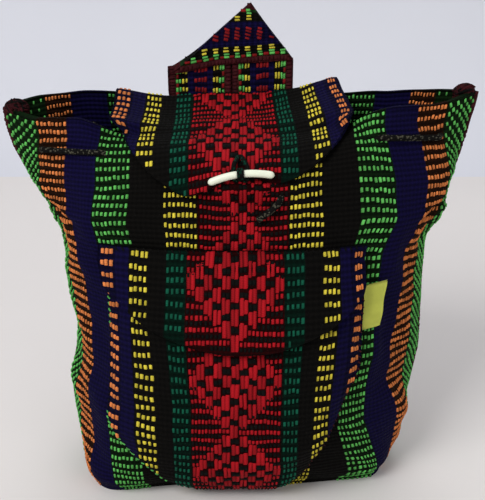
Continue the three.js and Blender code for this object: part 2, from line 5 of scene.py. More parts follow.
import bpy
import numpy as np
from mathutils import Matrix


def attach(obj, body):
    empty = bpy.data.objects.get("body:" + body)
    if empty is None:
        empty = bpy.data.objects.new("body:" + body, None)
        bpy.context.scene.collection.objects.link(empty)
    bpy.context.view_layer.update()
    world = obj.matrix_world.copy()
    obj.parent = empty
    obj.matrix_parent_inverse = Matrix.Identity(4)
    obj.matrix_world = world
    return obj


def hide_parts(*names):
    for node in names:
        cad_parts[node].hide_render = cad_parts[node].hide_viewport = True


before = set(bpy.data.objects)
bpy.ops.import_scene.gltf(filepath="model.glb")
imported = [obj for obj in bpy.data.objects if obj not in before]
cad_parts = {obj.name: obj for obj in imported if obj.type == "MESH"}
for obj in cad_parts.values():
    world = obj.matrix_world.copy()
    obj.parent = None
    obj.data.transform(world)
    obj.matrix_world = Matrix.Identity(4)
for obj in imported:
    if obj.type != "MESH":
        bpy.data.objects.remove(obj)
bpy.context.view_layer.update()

bl_info = {
    "name": "Handwoven backpack",
    "version": (1, 0, 0),
    "blender": (4, 5, 0),
    "location": "View3D > Sidebar > Backpack",
    "description": "Builds the cloth, yarns, webbing, cords and toggle of a handwoven backpack",
    "category": "Object",
}

MM = 0.001
FRONT, BACK = -1, 1
SIDES = ((FRONT, "front"), (BACK, "back"))
HANDS = ((-1, "left"), (1, "right"))
SEED = 7

# The bag's form in mm, as in the solids: height, half width, half depth, squareness across and in depth
SECTIONS = np.array(
    [
        [0, 136, 54, 7, 1.7],
        [16, 144, 67, 7, 1.5],
        [115, 154, 86, 4, 1.3],
        [228, 157, 75, 2.7, 1.4],
        [333, 187, 48, 2.8, 1],
    ]
)
RIM = 333.0
BAG_HALF = 197.0
BASE_DEPTH = 124
CLOTH = 3.0
SEAM_DEPTH = 6.0
SEAM_MARGIN = 12
SEAM_BLEND = (140, 175)
STRIPE_RISE = 0.8
LAYER_GAP = 0.7
EDGE_TURN = 0.6
SEWN_LIFT = STRIPE_RISE + LAYER_GAP + EDGE_TURN + CLOTH / 2
ACCENT_HALF = 105.0
STRAP_HALF = 26.0
SEWN_OFFSET = -6.0

# Sewn-on sheets in mm: thickness, where float yarns start off its middle, how deep they are sunk, and how
# much higher they stand on the accent cloth
SHEET = 2.6
FLOAT_LIFT = 1.35
FLOAT_SINK = 0.35
ACCENT_EXTRA_RISE = 0.15

# Yarns that float on each cloth
BAG_DYES = ("red", "yellow", "green", "orange", "black", "maroon")
ACCENT_DYES = ("red", "dark_green", "yellow", "orange", "black")
STRAP_DYES = ("webbing", "yellow", "green", "maroon")
STITCH_DYES = ("green", "maroon", "black")

# Ground of each cloth from its middle out: where a stripe starts in mm, its dye, and how much of that shows
BAG_GROUND = (
    (0, "red", 0.03), (36, "black", 0.9), (62, "black", 1), (87, "green", 0.015),
    (113, "navy", 1), (141, "orange", 0.014), (166, "green", 0.02), (193, "maroon", 1),
)
ACCENT_GROUND = (
    (0, "red", 0.03), (38, "dark_green", 0.07), (53, "black", 1),
    (65, "black", 1.1), (81, "navy", 1), (91, "navy", 0.6),
)
STRAP_GROUND = (
    (0, "navy", 0.6), (5.6, "navy", 1), (10.3, "black", 0.9), (18, "green", 0.04), (20.4, "maroon", 0.8),
)

# Ribs of each ground weave in mm: from one to the next along the cloth and across it
BAG_RIBS, ACCENT_RIBS, STRAP_RIBS = (3.75, 3.5), (4.45, 4.0), (4.7, 2.7)

# The bag's stripes in mm: edges of the dashed ones and of the twilled one, and how yarns lie in the twill and
# the selvedge
BAG_DASHES = {"yellow": (36, 62), "green": (87, 113), "orange": (141, 166)}
BAG_EDGE = (166, 193)
TWILL_START, TWILL_PITCH = 3.0, 6.6
SELVEDGE_PITCH, SELVEDGE_IN = 3.1, 2.2

# The accent cloth's dashed stripes: dye, middle in mm, yarns and their fullness, and how close the right
# orange ones lie
ACCENT_DASHES = (("dark_green", 46.5, 4, 0.37), ("yellow", 73.5, 4, 0.37), ("orange", 98.4, 3, 0.46))
RIGHT_ORANGE_PINCH = 0.7

# The middle band in mm: half width, brick columns on each side of the middle one, width of a brick, the
# accent cloth's small dashes, and how far out the bag's band is drawn
RED_HALF = 38.0
BRICK_REACH = 5
BAG_BRICK, ACCENT_BRICK = 6.2, 6.9
ACCENT_RED_DASH = 3.2
BAG_RED_KEPT = 35

# Yarns as shares of a pitch: half lengths of red and black bricks, the place and half width of a brick's two
# strands, and half width and half length of the dashes beside the bricks and in the bag's and accent stripes
RED_LONG, BLACK_LONG = 0.72, 0.26
STRAND_OUT, STRAND_HALF = 0.23, 0.28
SMALL_DASH_WIDE, SMALL_DASH_LONG = 0.43, 0.215
BAG_DASH_WIDE, BAG_DASH_LONG = 0.35, 0.245
ACCENT_DASH_LONG = 0.25

# The wrong side of the bag cloth in mm: rows that show, half width and half length of dashes, edge yarns
INSIDE_ROWS = 8
INSIDE_DASH = (1.1, 1.6)
INSIDE_EDGE = (170, 177, 184)

# Knots of loose yarn at the mouth's corners: place across and reach in mm, and strands
FRAYED_AT, FRAYED_REACH, FRAYED_STRANDS = 184, 7.8, 160

# Main flap in mm, as in the solids apart from the right corner, which is less rounded
FLAP_SEAM_DROP = 30.0
FLAP_FRONT_DROP = 60.0
FLAP_NOTCH = 6.0
FLAP_SKEW = 8.0
FLAP_END_HALF = 40.0
FLAP_ROUND = 50.0
FLAP_ROUND_RIGHT = FLAP_ROUND - 8
FLAP_ROUNDING = 1.5
FLAP_CURL = 4.0
FLAP_END = RIM - FLAP_FRONT_DROP + FLAP_SKEW + FLAP_NOTCH

# Share of its cut width that the flap keeps: the left half, and the right half behind and before the mouth
FLAP_NARROW_LEFT, FLAP_NARROW_BACK, FLAP_NARROW_FRONT = 0.94, 0.82, 0.92

# The flap over the mouth in mm: place and height from the back rim, and its share of the side peaks
FLAP_OVER_MOUTH = ((2.4, 2.0, 0.8), (-1, 4.2, 0.9), (-18, -3.0, 1.0), (-38, -8.5, 1.0), (-56, -11.5, 0.7))
FLAP_MOUTH_REACH = 75

# The flap's side peaks over the mouth in mm: hand, height, and where across the rise starts and ends
FLAP_PEAKS = ((-1, -2.0, 20, 60), (1, 9.5, 15, 105))

# The rolled lobes of the flap's end in mm: how far they stand off, and the place and half width of each
FLAP_ROLL = 6.0
FLAP_ROLL_UP, FLAP_ROLL_HALF = 3, 9
FLAP_LOBES = ((-19, 17), (27, 19))

# The flap's lines in mm: heights of their points on the front, spans behind these, and reach and step
FLAP_FRONT_HEIGHTS = (RIM - 1, 322, 311, 300, 289, 278, 267, 256)
FLAP_BACK_SPANS = 5
FLAP_REACH, FLAP_STEP = 240, 1.5
FLAP_CURL_FROM = 290

# Sag of the standing bag in mm and degrees: the middle of the back rim, and the front panel under the flap
RIM_SAG = 7.0
RIM_SAG_REACH = 70
LEAN_FADE = (70.0, 128.0)
LEAN_FROM, LEAN_BEND = 285.0, 32.0
LEAN_START, LEAN_END = 14.0, 82.0

# Pocket and its flap in mm. The corner heights are the left and the right one
POCKET_SEAM = RIM - 101.0
POCKET_TOP = POCKET_SEAM - 12.0
POCKET_BOTTOM = 10.0
POCKET_CORNER_WIDTH, POCKET_CORNER_CURVE = 70.0, 1.75
POCKET_CORNER_HEIGHT = (76.0, 122.0)
POCKET_BULGE = 13.0
POCKET_BULGE_LOW = 0.7
POCKET_SLACK = 1.0
POCKET_CREASE, CREASE_START, CREASE_END = 1.8, (10, 40), 170
POCKET_FLAP_MIDDLE = 75.0
POCKET_FLAP_SIDE = 31.0
POCKET_FLAP_BELL = (0.85, 0.65)

# The pocket flap's end stands off the pocket in mm: by some slack and waves, and by a swell at the right
POCKET_FLAP_SLACK, POCKET_FLAP_WAVE, POCKET_FLAP_WAVE_SIZE = 2.0, 1.2, 16
POCKET_FLAP_WAVE_DOWN = (15, 70)
SWELL_RISE, SWELL_START, SWELL_END, SWELL_DOWN = 3.0, (10, 40), (70, 98), (20, 60)

# The pocket's right edge turned in at the top, in mm: how far, from where across, and between which heights
POCKET_TURN_IN = 2.5
TURN_IN_FROM = 60
TURN_IN_HEIGHTS = (180, 228)

# Straps in mm, as in the solids
STRAP_THICK = 3.0
STRAP_OFFSET = -9.5
STRAP_POINT_BASE = RIM + 23.0
STRAP_POINT_HALF = 2 * STRAP_HALF + 0.5
STRAP_POINT_LEAN = 16.0
STRAP_SEAM = RIM - 28.0
STRAP_FOOT = (100.0, 24.0)
STRAP_BOW = 66.0
STRAP_BOW_LOW = 46.0
STRAP_BOWED = ((0.18, 0.35), (0.45, 0.85), (0.72, 1.0), (0.9, 0.93))

# The folded top of the straps in mm: its lean and spread, each with the heights where it grows and fades
POINT_LEAN_DOWN = 3.6
POINT_LEANS = ((RIM - 5, STRAP_POINT_BASE), (STRAP_POINT_BASE + 4, STRAP_POINT_BASE + 48))
POINT_SPREAD, POINT_SPREAD_FROM = 2, 15
POINT_SPREADS = ((RIM - 20, RIM), (STRAP_POINT_BASE, STRAP_POINT_BASE + 40))

# Its two layers in mm: how far each stands out, the front one's puff and sag, and the share of height kept
POINT_FRONT_OUT, POINT_BACK_OUT = 0.6, 1.9
POINT_PUFF = 2.4
POINT_SAG, POINT_SAG_FROM = 5.5, 8
POINT_HEIGHT_KEPT = 0.96

# The webbing's pattern in mm from its middle: red dashes, yellow and green ones, the ladder and the edge
STRAP_RED_PITCH = 2.7
STRAP_SIDE_FROM, STRAP_SIDE_PITCH = 11.6, 2.6
STRAP_LADDER = 19.3
STRAP_EDGE = 23.6
STRAP_EDGE_KEPT = 22.8
STRAP_SEWN_BOX = 16

# Cords and toggle in mm, as in the solids apart from the plump braid, the tail's lift, the tie's turns
# and the lower loop
CORD_DROP = 23.0
CORD_RADIUS = 2.0
CORD_PLUMP = 0.4
CORD_FRONT_OUT = (104.0, 166.0)
CORD_BACK_OUT = (126.0, 166.0)
CORD_PASS = 16.0
CORD_STEP = 11.0
CORD_TAIL_HOLE = (31.0, 60.0)
CORD_TAIL = ((27.0, 67.0), (20.0, 73.0), (12.0, 78.0))
CORD_TAIL_LIFT = 1.5
TOGGLE_OFFSET = -1.5
TOGGLE_HEIGHT = FLAP_END + 5.3
TOGGLE_LENGTH = 49.0
TOGGLE_RADIUS = 2.8
TOGGLE_WAIST = 2.1
TOGGLE_ARCH = 4.0
TOGGLE_TILT = 7.0
TOGGLE_STAND_OFF = 9.0
TIE_RADIUS = 1.2
TIE_HEIGHT = FLAP_END - 10.0
TIE_TURNS = 3
LOOP_HEIGHT = 14.0
LOOP_SPREAD = 5.5

# How much lower the laced drawstring hangs in mm: behind, at the front right and at the front left
CORD_SAG_BACK, CORD_SAG_BACK_END = 14, (108, 140)
CORD_SAG_RIGHT, CORD_SAG_RIGHT_FROM = 2.5, (100, 166)
CORD_SAG_LEFT = 3.5

# Whip stitches in mm and radians: spacing, turn across the seam, half width and half length
STITCH_PITCH, STITCH_TURN = 5.2, 0.9
STITCH_HALF_WIDTH, STITCH_HALF_LENGTH = 0.62, 1.6

# The pocket's seam thread: how far from the middle its dye changes, and between which heights green is hidden
SEAM_DYE_FROM = 60
GREEN_HIDDEN = (95, 168)

# Label in mm
LABEL_WIDTH, LABEL_HEIGHT, LABEL_DROP = 17.0, 37.0, 20.5
LABEL_SLANT, LABEL_LEAN, LABEL_FORESHORTENED = 3.0, 3.0, 0.85
LABEL_THICK = 0.8
LABEL_STAND_OFF, LABEL_WAVE, LABEL_WAVE_SIZE = 2.4, 0.8, 7

# Points of the meshes and tables, across and along, and heights in mm where the bag cloth turns under
WALL_POINTS = (263, 223)
ROUND_POINTS = 401
SETTLED_POINTS = (198, 168)
BAG_COLUMNS, BAG_ROWS, BASE_ROWS = 133, 86, 14
BASE_TURN_FROM, BASE_TURN = 16, (11, 7, 4, 1.5, 0)
PATH_STEPS = 14
ACCENT_LINES = 85

# Lamps: name, place in metres, size in metres and power in watts
LAMPS = (
    ("key", (-1.3, -1.5, 1.9), 1.1, 46.0),
    ("fill", (1.6, -1.3, 1.2), 1.6, 9.0),
    ("back", (0.3, 0.9, 2.0), 1.2, 8.0),
)
LAMP_AIM = (0, 0, 0.18)

# Light from all around: sRGB hex and strength
SKY, SKY_STRENGTH = "F4F6FA", 0.42

# Camera fitted to the photo: place in metres, tilt in degrees, lens and sensor in mm
CAMERA_PLACE = (0, -0.6395, 0.4497)
CAMERA_TILT = 69
CAMERA_LENS, CAMERA_SENSOR = 56.95, 36.0

# Stage in mm: half width, front edge, where the floor bends up, the bend's radius and the wall's height
STAGE_HALF, STAGE_FRONT, STAGE_BEND_FROM, STAGE_BEND, STAGE_TOP = 4000, -3000, 960, 440, 3500.0
STAGE_DROP = 0.2


def linear(code):
    """A colour written as sRGB hex, as linear red, green, blue and alpha."""
    parts = [int(code[i : i + 2], 16) / 255 for i in (0, 2, 4)]
    return tuple(c / 12.92 if c <= 0.04045 else ((c + 0.055) / 1.055) ** 2.4 for c in parts) + (1.0,)


def colour(name, code, words):
    """A colour property whose default is an sRGB hex value."""
    return bpy.props.FloatVectorProperty(
        name=name, description=words, subtype="COLOR", size=4, min=0, max=1, default=linear(code)
    )


def length(name, mm, words):
    """A length property whose default is in millimetres."""
    return bpy.props.FloatProperty(name=name, description=words, unit="LENGTH", default=mm * MM)


class BackpackColours(bpy.types.PropertyGroup):
    """Dyes of the yarns and colours of the trimmings and stage."""

    red: colour("Red", "9C1019", "Bricks and dashes of the middle band")
    yellow: colour("Yellow", "CDBC3C", "Dashes beside the middle band")
    green: colour("Green", "5BB054", "Dashes of the bag's green stripes")
    orange: colour("Orange", "D27A42", "Dashes of the orange stripes")
    dark_green: colour("Dark green", "0B4F3A", "Dashes of the flap's and pocket's green stripes")
    navy: colour("Navy", "090627", "Ribbed ground of the blue stripes")
    black: colour("Black", "070605", "Ribbed ground of the black stripes")
    # Darker than the bag's red: partly a darker yarn, partly painted shade on the straps
    webbing: colour("Webbing red", "7E1518", "Dashes of the straps")
    maroon: colour("Maroon", "3C1216", "Selvedges and strap edges")
    cord: colour("Cord", "100F0E", "Dark strands of the cords")
    speck: colour("Cord speck", "4C4A3E", "Light strands of the drawstring")
    toggle: colour("Toggle", "E9EED8", "Moulded toggle rod")
    label: colour("Label", "B3B748", "Bare woven label")
    floor: colour("Floor", "E2DDDA", "Floor of the stage")
    backdrop: colour("Backdrop", "DCDDE4", "Wall behind the bag")


class BackpackSizes(bpy.types.PropertyGroup):
    """Sizes of the weave and of the bag's sag."""

    dash_pitch: length("Dash pitch", 3.25, "From one yarn to the next across a stripe of the bag")
    row_pitch: length("Row pitch", 7.3, "From one row of dashes to the next on the bag")
    accent_dash_pitch: length("Accent dash pitch", 3.5, "From one yarn to the next on flap and pocket")
    accent_row_pitch: length("Accent row pitch", 8.7, "From one row to the next on flap and pocket")
    strap_row_pitch: length("Strap row pitch", 9.4, "From one row to the next along the webbing")
    yarn_rise: length("Yarn rise", 1.4, "Height of a float yarn over the ground weave")
    ear_droop: length("Left corner droop", 4.0, "How far the mouth's left corner hangs down")
    ear_lift: length("Right corner lift", 8.0, "How far the mouth's right corner stands up")
    corner_push: length("Base corner push", 15.0, "How far the load pushes the front left base corner out")
    corner_slack: length("Base corner slack", 14.0, "How far the front right base corner falls back")
    hump: length("Tie hump", 10.0, "How far the toggle's tie pulls the bag cloth out")


def dyes():
    """The scene's colours."""
    return bpy.context.scene.backpack_colours


def in_mm(name):
    """One of the scene's sizes, in millimetres."""
    return getattr(bpy.context.scene.backpack_sizes, name) / MM


def darker(shade, share):
    """A share of a colour."""
    return tuple(c * share for c in shade[:3]) + (1.0,)


def smooth(value, low, high):
    """0 below low, 1 above high and a soft step between."""
    t = np.clip((np.asarray(value, float) - low) / (high - low), 0, 1)
    return t * t * (3 - 2 * t)


def lengths_along(line):
    """How far along a line of points each point is."""
    return np.concatenate([[0], np.cumsum(np.linalg.norm(np.diff(line, axis=0), axis=1))])


def waver(a, b, seed):
    """A slow uneven wave between about -1 and 1 over two directions in mm."""
    r = np.random.default_rng(seed)
    total = 0.0
    for size in (130.0, 80.0, 47.0, 30.0):
        turn, phase = r.uniform(0, 2 * math.pi, 2)
        total = total + np.sin((a * math.cos(turn) + b * math.sin(turn)) * 2 * math.pi / size + phase)
    return total / 2.6


def section_sizes(heights):
    """Half width, half depth and both squarenesses at some heights, by a cubic through SECTIONS."""
    t, v = SECTIONS[:, 0], SECTIONS[:, 1:]
    last = len(t) - 1
    i = np.clip(np.searchsorted(t, heights, side="right"), 1, last)
    start, end = t[i - 1], t[i]
    before = np.where(i > 1, t[np.maximum(i - 2, 0)], 2 * start - end)
    after = np.where(i < last, t[np.minimum(i + 1, last)], 2 * end - start)
    earlier, later = v[np.where(i > 1, i - 2, i)], v[np.where(i < last, i + 1, i - 1)]
    a = ((end - start) / 2 / (start - before))[:, None]
    b = ((end - start) / 2 / (after - end))[:, None]
    p = ((heights - start) / (end - start))[:, None]
    return (
        earlier * (-a * p**3 + 2 * a * p**2 - a * p)
        + v[i - 1] * ((1 + a) * p**3 - (1.5 + 2 * a) * p**2 + (a - 0.5) * p + 1)
        + v[i] * (-(1 + b) * p**3 + (1.5 + b) * p**2 + 0.5 * p)
        + later * (b * p**3 - b * p**2)
    )


def across_table(values, at):
    """Index below each value in an even table, and the share of the way to the next."""
    place = np.clip((np.asarray(at, float) - values[0]) / (values[1] - values[0]), 0, len(values) - 1.001)
    index = place.astype(int)
    return index, place - index


class ClothForm:
    """A sheet in space: a table of points in mm over s, across the cloth, and v, along it."""

    def __init__(self, s, v, points, face=1):
        self.s, self.v, self.points = s, v, points
        normal = np.cross(np.gradient(points, s, axis=0), np.gradient(points, v, axis=1)) * face
        self.normals = normal / np.linalg.norm(normal, axis=2, keepdims=True).clip(1e-9)

    def at(self, s, v, lift=0.0):
        """Points of the sheet, lifted off it by some mm."""
        s, v = np.broadcast_arrays(s, v)
        i, a = across_table(self.s, s)
        j, b = across_table(self.v, v)
        a, b = a[..., None], b[..., None]

        def mixed(table):
            low = table[i, j] * (1 - b) + table[i, j + 1] * b
            high = table[i + 1, j] * (1 - b) + table[i + 1, j + 1] * b
            return low * (1 - a) + high * a

        normal = mixed(self.normals)
        normal /= np.linalg.norm(normal, axis=-1, keepdims=True).clip(1e-9)
        return mixed(self.points) + normal * np.asarray(lift, float)[..., None]


def plain_wall(side):
    """The bag's outer face before it sags: s along the cloth from the panel's middle, v the height."""
    s = np.linspace(-BAG_HALF, BAG_HALF, WALL_POINTS[0])
    heights = np.linspace(0, RIM, WALL_POINTS[1])
    share = 1 - (1 - np.linspace(0, 1, ROUND_POINTS)) ** 2
    points = np.zeros((len(s), len(heights), 3))
    for j, (a, b, p, q) in enumerate(section_sizes(heights)):
        x, y = a * share, b * np.maximum(0, 1 - share**p) ** (1 / q)
        along = np.concatenate([[0], np.cumsum(np.hypot(np.diff(x), np.diff(y)))])
        at = np.abs(s) / BAG_HALF * along[-1]
        points[:, j, 0] = np.sign(s) * np.interp(at, along, x)
        points[:, j, 1] = side * np.interp(at, along, y)
        points[:, j, 2] = heights[j]
    return ClothForm(s, heights, points, -side)


WALL = {side: plain_wall(side) for side in (FRONT, BACK)}


def inside_wall(s, height, side, depth, seam_depth):
    """The bag's inside at a depth below its outer face, deeper at the side seams."""
    sizes = section_sizes(np.clip(np.ravel(height), 0, RIM)).reshape(*np.shape(height), 4)
    point = WALL[side].at(s, height)
    point[..., 0] *= 1 - seam_depth / sizes[..., 0]
    point[..., 1] *= 1 - depth / sizes[..., 1]
    return point


# How far the front's stripes slid outwards, in mm: by height, for each distance from the middle
DRIFT_HEIGHTS = (0, 20, 45, 76, 108, 136, 172, 190, 224, 250, 277, 320)
NO_DRIFT = (0,) * len(DRIFT_HEIGHTS)
LEFT_DRIFT = {
    20: NO_DRIFT,
    45: (0, 0, -2, -3.5, -4, -2, 0, 0, 0, 0, 0, 0),
    74: (8, 1, -3, -5, -6, -5, 0, 0, 1.5, 6, 2, 0),
    105: (8, 3.5, 0, 0, 0, 1, 2, 3, 8, 14, 4, -3),
    135: (3, 1, -5, -5, 4, 5.5, 7.5, 7.5, 6, 15, 6, -9),
    152: (0, 0, 0, -3, 5, 3, 6, 6, 4, 9, 8, -6),
    176: NO_DRIFT,
}
RIGHT_DRIFT = {
    20: NO_DRIFT,
    45: (0, -1, -2, -3, -3.5, -2.5, -1, 0, 2, 2, 1, 0),
    65: (4, 0, -5, -6, -6, -5, -1, 1, 4, 4.5, 2, 0),
    95: (23, 18, 3, -9, -10, -5.5, -2.5, 0, 1, 13, 9, -3),
    113: (17, 14, 4, -9, -10, -3, 2.5, 4.5, 9, 13, 10, -3.5),
    135: (9, 8, 5, 0, -10, -8, -4, -2, 1, 13, 11, -4),
    152: (0, 0, 0, 0, -3, -3, 0, 0, 2, 10, 11, -4),
    176: NO_DRIFT,
}

# How far the side seams wander outwards, and how far they are tucked in behind the front: heights, then mm
LEFT_SEAM = (
    (0, 43, 77, 92, 107, 138, 160, 200, 223, 249, 275, 301, 333),
    (4, 4, 4, 1, -4, -9.5, -8.5, -4.5, -2, -2, 5, 7.5, 7),
)
RIGHT_SEAM = (
    (0, 20, 45, 65, 90, 110, 153, 223, 236, 249, 275, 312, 333),
    (-4, -3, -2.5, -0.5, 3, 5, 3, 1.5, 4, 5, 4, 1.5, 3),
)
LEFT_TUCK = ((112, 138, 158, 182, 194, 210, 224, 244, 262, 278), (0, 7, 7, 1, 1, 4, 13, 16, 8, 0))
RIGHT_TUCK = ((190, 208, 222, 242, 258, 276), (0, 3, 11, 16, 10, 0))

# How far the back and front rims stand above the plain rim: places across, then mm
BACK_RIM = ((50, 76, 95, 120, 150, 180), (0, 5, 3, -0.5, -0.5, 0))
FRONT_RIM = (
    (-190, -170, -150, -120, 40, 70, 85, 115, 150, 175, 190),
    (-5, -4, -1, -1, -1, 3, 5, 0, -5, -3, 0),
)

# Where each part of the sag starts and is full, in mm
NECK_SAG, BASE_SAG = (215, RIM), (0, 120)
FACE_FADE = (-4, 16)
LEFT_EAR, RIGHT_EAR = (70, 187), (80, 187)
LEFT_HANG, LEFT_HANG_END = (60, 105), (176, 190)
LEFT_HANG_DEPTH = 5
SEAM_WANDER, SEAM_TUCK = (70, 150), (152, 165)

# The base's front corners in mm, each as out, forward and up: pushed left, slack right, turned-in right
PUSHED_CORNER = ((50, 125), (0, 50), (0, 70))
SLACK_CORNER = ((20, 140), (-30, 45), BASE_SAG)
TURNED_CORNER = ((90, 140), (4, 26), (0, 35))
CORNER_TURN_IN = 7

# Folds of the bag cloth: side, s, height, half length, half width, turn in degrees and lift in mm
BAG_FOLDS = (
    (FRONT, 156, 248, 18, 5, 29, -5.0), (FRONT, -152, 248, 18, 5, -25, -5.0),
    (FRONT, -172, 228, 34, 9, 60, -4.0), (FRONT, -150, 212, 40, 12, 35, 3.0),
    (FRONT, 170, 224, 34, 9, 120, -4.5), (FRONT, 148, 236, 42, 12, 130, 3.0),
    (FRONT, -160, 118, 40, 13, 10, -3.5), (FRONT, -165, 86, 40, 14, -8, 3.0),
    (FRONT, 162, 100, 40, 13, -12, -3.5), (FRONT, 150, 66, 36, 12, -20, 3.0),
    (FRONT, -118, 262, 60, 14, 82, 3.0), (FRONT, 112, 268, 60, 14, 98, 3.0),
    (FRONT, 70, 262, 40, 10, 100, -2.5), (FRONT, -64, 260, 40, 10, 75, -2.0),
    (FRONT, 128, 150, 60, 11, 95, -2.5), (FRONT, -126, 160, 60, 11, 85, -2.0),
    (BACK, -90, 205, 70, 16, 70, 4.0), (BACK, 96, 190, 70, 16, 112, 4.0),
    (BACK, 0, 120, 80, 18, 8, -4.0), (BACK, -40, 70, 60, 14, -12, 3.0), (BACK, 60, 96, 50, 13, 15, -3.0),
    (BACK, -168, 120, 40, 13, -8, -3.0), (BACK, 166, 92, 40, 13, 10, -3.0),
)

# Uneven lie of the bag cloth in mm, and the hump that the toggle's tie pulls: half width, height, half height
CLOTH_WAVER = 1.6
HUMP_HALF, HUMP_HEIGHT, HUMP_HALF_HEIGHT = 27, 278, 7.0


def drift(x, z):
    """How far the stripes at some places of the front have slid outwards, in mm."""
    total = np.zeros(np.shape(x))
    for hand, table in ((-1, LEFT_DRIFT), (1, RIGHT_DRIFT)):
        places = np.array(list(table), float)
        columns = np.stack([np.interp(z, DRIFT_HEIGHTS, shifts) for shifts in table.values()])
        away = np.clip(hand * x, places[0], places[-1])
        i = np.clip(np.searchsorted(places, away, side="right") - 1, 0, len(places) - 2)
        share = (away - places[i]) / (places[i + 1] - places[i])
        low = np.take_along_axis(columns, i[None], 0)[0]
        total += low * (1 - share) + np.take_along_axis(columns, i[None] + 1, 0)[0] * share
    return total


def in_corner(x, y, z, corner):
    """1 in a front corner of the base and 0 away from it, for a corner on the positive side."""
    out, forward, up = corner
    return smooth(x, *out) * smooth(-y, *forward) * (1 - smooth(z, *up))


def slump(points):
    """The sag of the standing bag: the side seams wander, the mouth's left corner hangs and the right one
    stands up, and the load pushes the front left base corner out and leaves the front right one slack."""
    x, y, z = points[..., 0], points[..., 1], points[..., 2]
    high = smooth(z, *NECK_SAG)
    front, back = smooth(-y, *FACE_FADE), smooth(y, *FACE_FADE)
    left, right = smooth(-x, *LEFT_EAR), smooth(x, *RIGHT_EAR)
    hanging = smooth(-x, *LEFT_HANG) * (1 - smooth(-x, *LEFT_HANG_END)) * high
    wander = np.where(x < 0, np.interp(z, *LEFT_SEAM), np.interp(z, *RIGHT_SEAM))
    tuck = np.where(x < 0, np.interp(z, *LEFT_TUCK), np.interp(z, *RIGHT_TUCK))
    away = np.abs(x)
    sideways = wander * smooth(away, *SEAM_WANDER) - tuck * smooth(away, *SEAM_TUCK) + drift(x, z) * front
    moved = np.array(points)
    moved[..., 0] += np.sign(x) * sideways
    moved[..., 0] -= CORNER_TURN_IN * in_corner(x, y, z, TURNED_CORNER)
    moved[..., 1] += in_corner(x, y, z, SLACK_CORNER) * in_mm("corner_slack")
    moved[..., 1] -= in_corner(-x, y, z, PUSHED_CORNER) * in_mm("corner_push")
    moved[..., 2] += high * (right * in_mm("ear_lift") - left * in_mm("ear_droop"))
    moved[..., 2] += hanging * LEFT_HANG_DEPTH * (back - front)
    moved[..., 2] += (np.interp(x, *FRONT_RIM) * front + np.interp(x, *BACK_RIM) * back) * high
    return moved


def fold_lift(s, height, side):
    """How far the folds and the tie's pull lift the bag cloth, in mm."""
    lift = np.zeros(np.shape(s))
    for fold_side, s0, z0, long, wide, turn, rise in BAG_FOLDS:
        if fold_side != side:
            continue
        c, d = math.cos(math.radians(turn)), math.sin(math.radians(turn))
        along = ((s - s0) * c + (height - z0) * d) / long
        across = ((height - z0) * c - (s - s0) * d) / wide
        lift += rise * np.exp(-(along**2) - across**2)
    if side == FRONT:
        across, up = (s - TOGGLE_OFFSET) / HUMP_HALF, (height - HUMP_HEIGHT) / HUMP_HALF_HEIGHT
        lift += in_mm("hump") * np.exp(-(across**2) - up**2)
    lift += CLOTH_WAVER * waver(s, height, 40 + side)
    return lift * smooth(height, 0, 30)


def settled_wall(side):
    """The bag's outer face as it stands: the back rim sags in the middle, and under the flap the front
    panel leans back over the mouth."""
    s, v = np.linspace(-BAG_HALF, BAG_HALF, SETTLED_POINTS[0]), np.linspace(0, RIM, SETTLED_POINTS[1])
    ss, vv = np.meshgrid(s, v, indexing="ij")
    points = WALL[side].at(ss, vv)
    middle = 1 - smooth(np.abs(ss - SEWN_OFFSET), *LEAN_FADE)
    if side == BACK:
        points[..., 2] -= RIM_SAG * middle * smooth(vv, RIM - RIM_SAG_REACH, RIM)
    else:
        start, end = math.radians(LEAN_START), math.radians(LEAN_END)
        per_mm = (end - start) / LEAN_BEND
        over = np.maximum(0, vv - LEAN_FROM)
        turn, straight = start + per_mm * np.minimum(over, LEAN_BEND), np.maximum(0, over - LEAN_BEND)
        leaned = np.array(points)
        leaned[..., 1] = WALL[FRONT].at(ss, np.minimum(vv, LEAN_FROM))[..., 1]
        leaned[..., 1] += (math.cos(start) - np.cos(turn)) / per_mm + straight * math.sin(end)
        leaned[..., 2] = np.minimum(vv, LEAN_FROM)
        leaned[..., 2] += (np.sin(turn) - math.sin(start)) / per_mm + straight * math.cos(end)
        middle = (middle * (vv > LEAN_FROM))[..., None]
        points = points * (1 - middle) + leaned * middle
    return ClothForm(s, v, slump(points), -side)


def bag_form(side, inner=False):
    """The standing bag's outer or inner face, with its folds."""
    wall = settled_wall(side)
    ss, vv = np.meshgrid(wall.s, wall.v, indexing="ij")
    seam = smooth(np.abs(ss), BAG_HALF - SEAM_MARGIN, BAG_HALF)
    lift = fold_lift(ss, vv, side) * (1 - seam)
    if not inner:
        return ClothForm(wall.s, wall.v, wall.at(ss, vv, lift), -side)
    shift = WALL[side].at(ss, vv, lift) - WALL[side].at(ss, vv)
    near_seam = smooth(np.abs(ss), *SEAM_BLEND)[..., None]
    points = slump(inside_wall(ss, vv, side, CLOTH, SEAM_DEPTH) + shift)
    points = wall.at(ss, vv, lift - CLOTH) * (1 - near_seam) + points * near_seam
    return ClothForm(wall.s, wall.v, points, side)


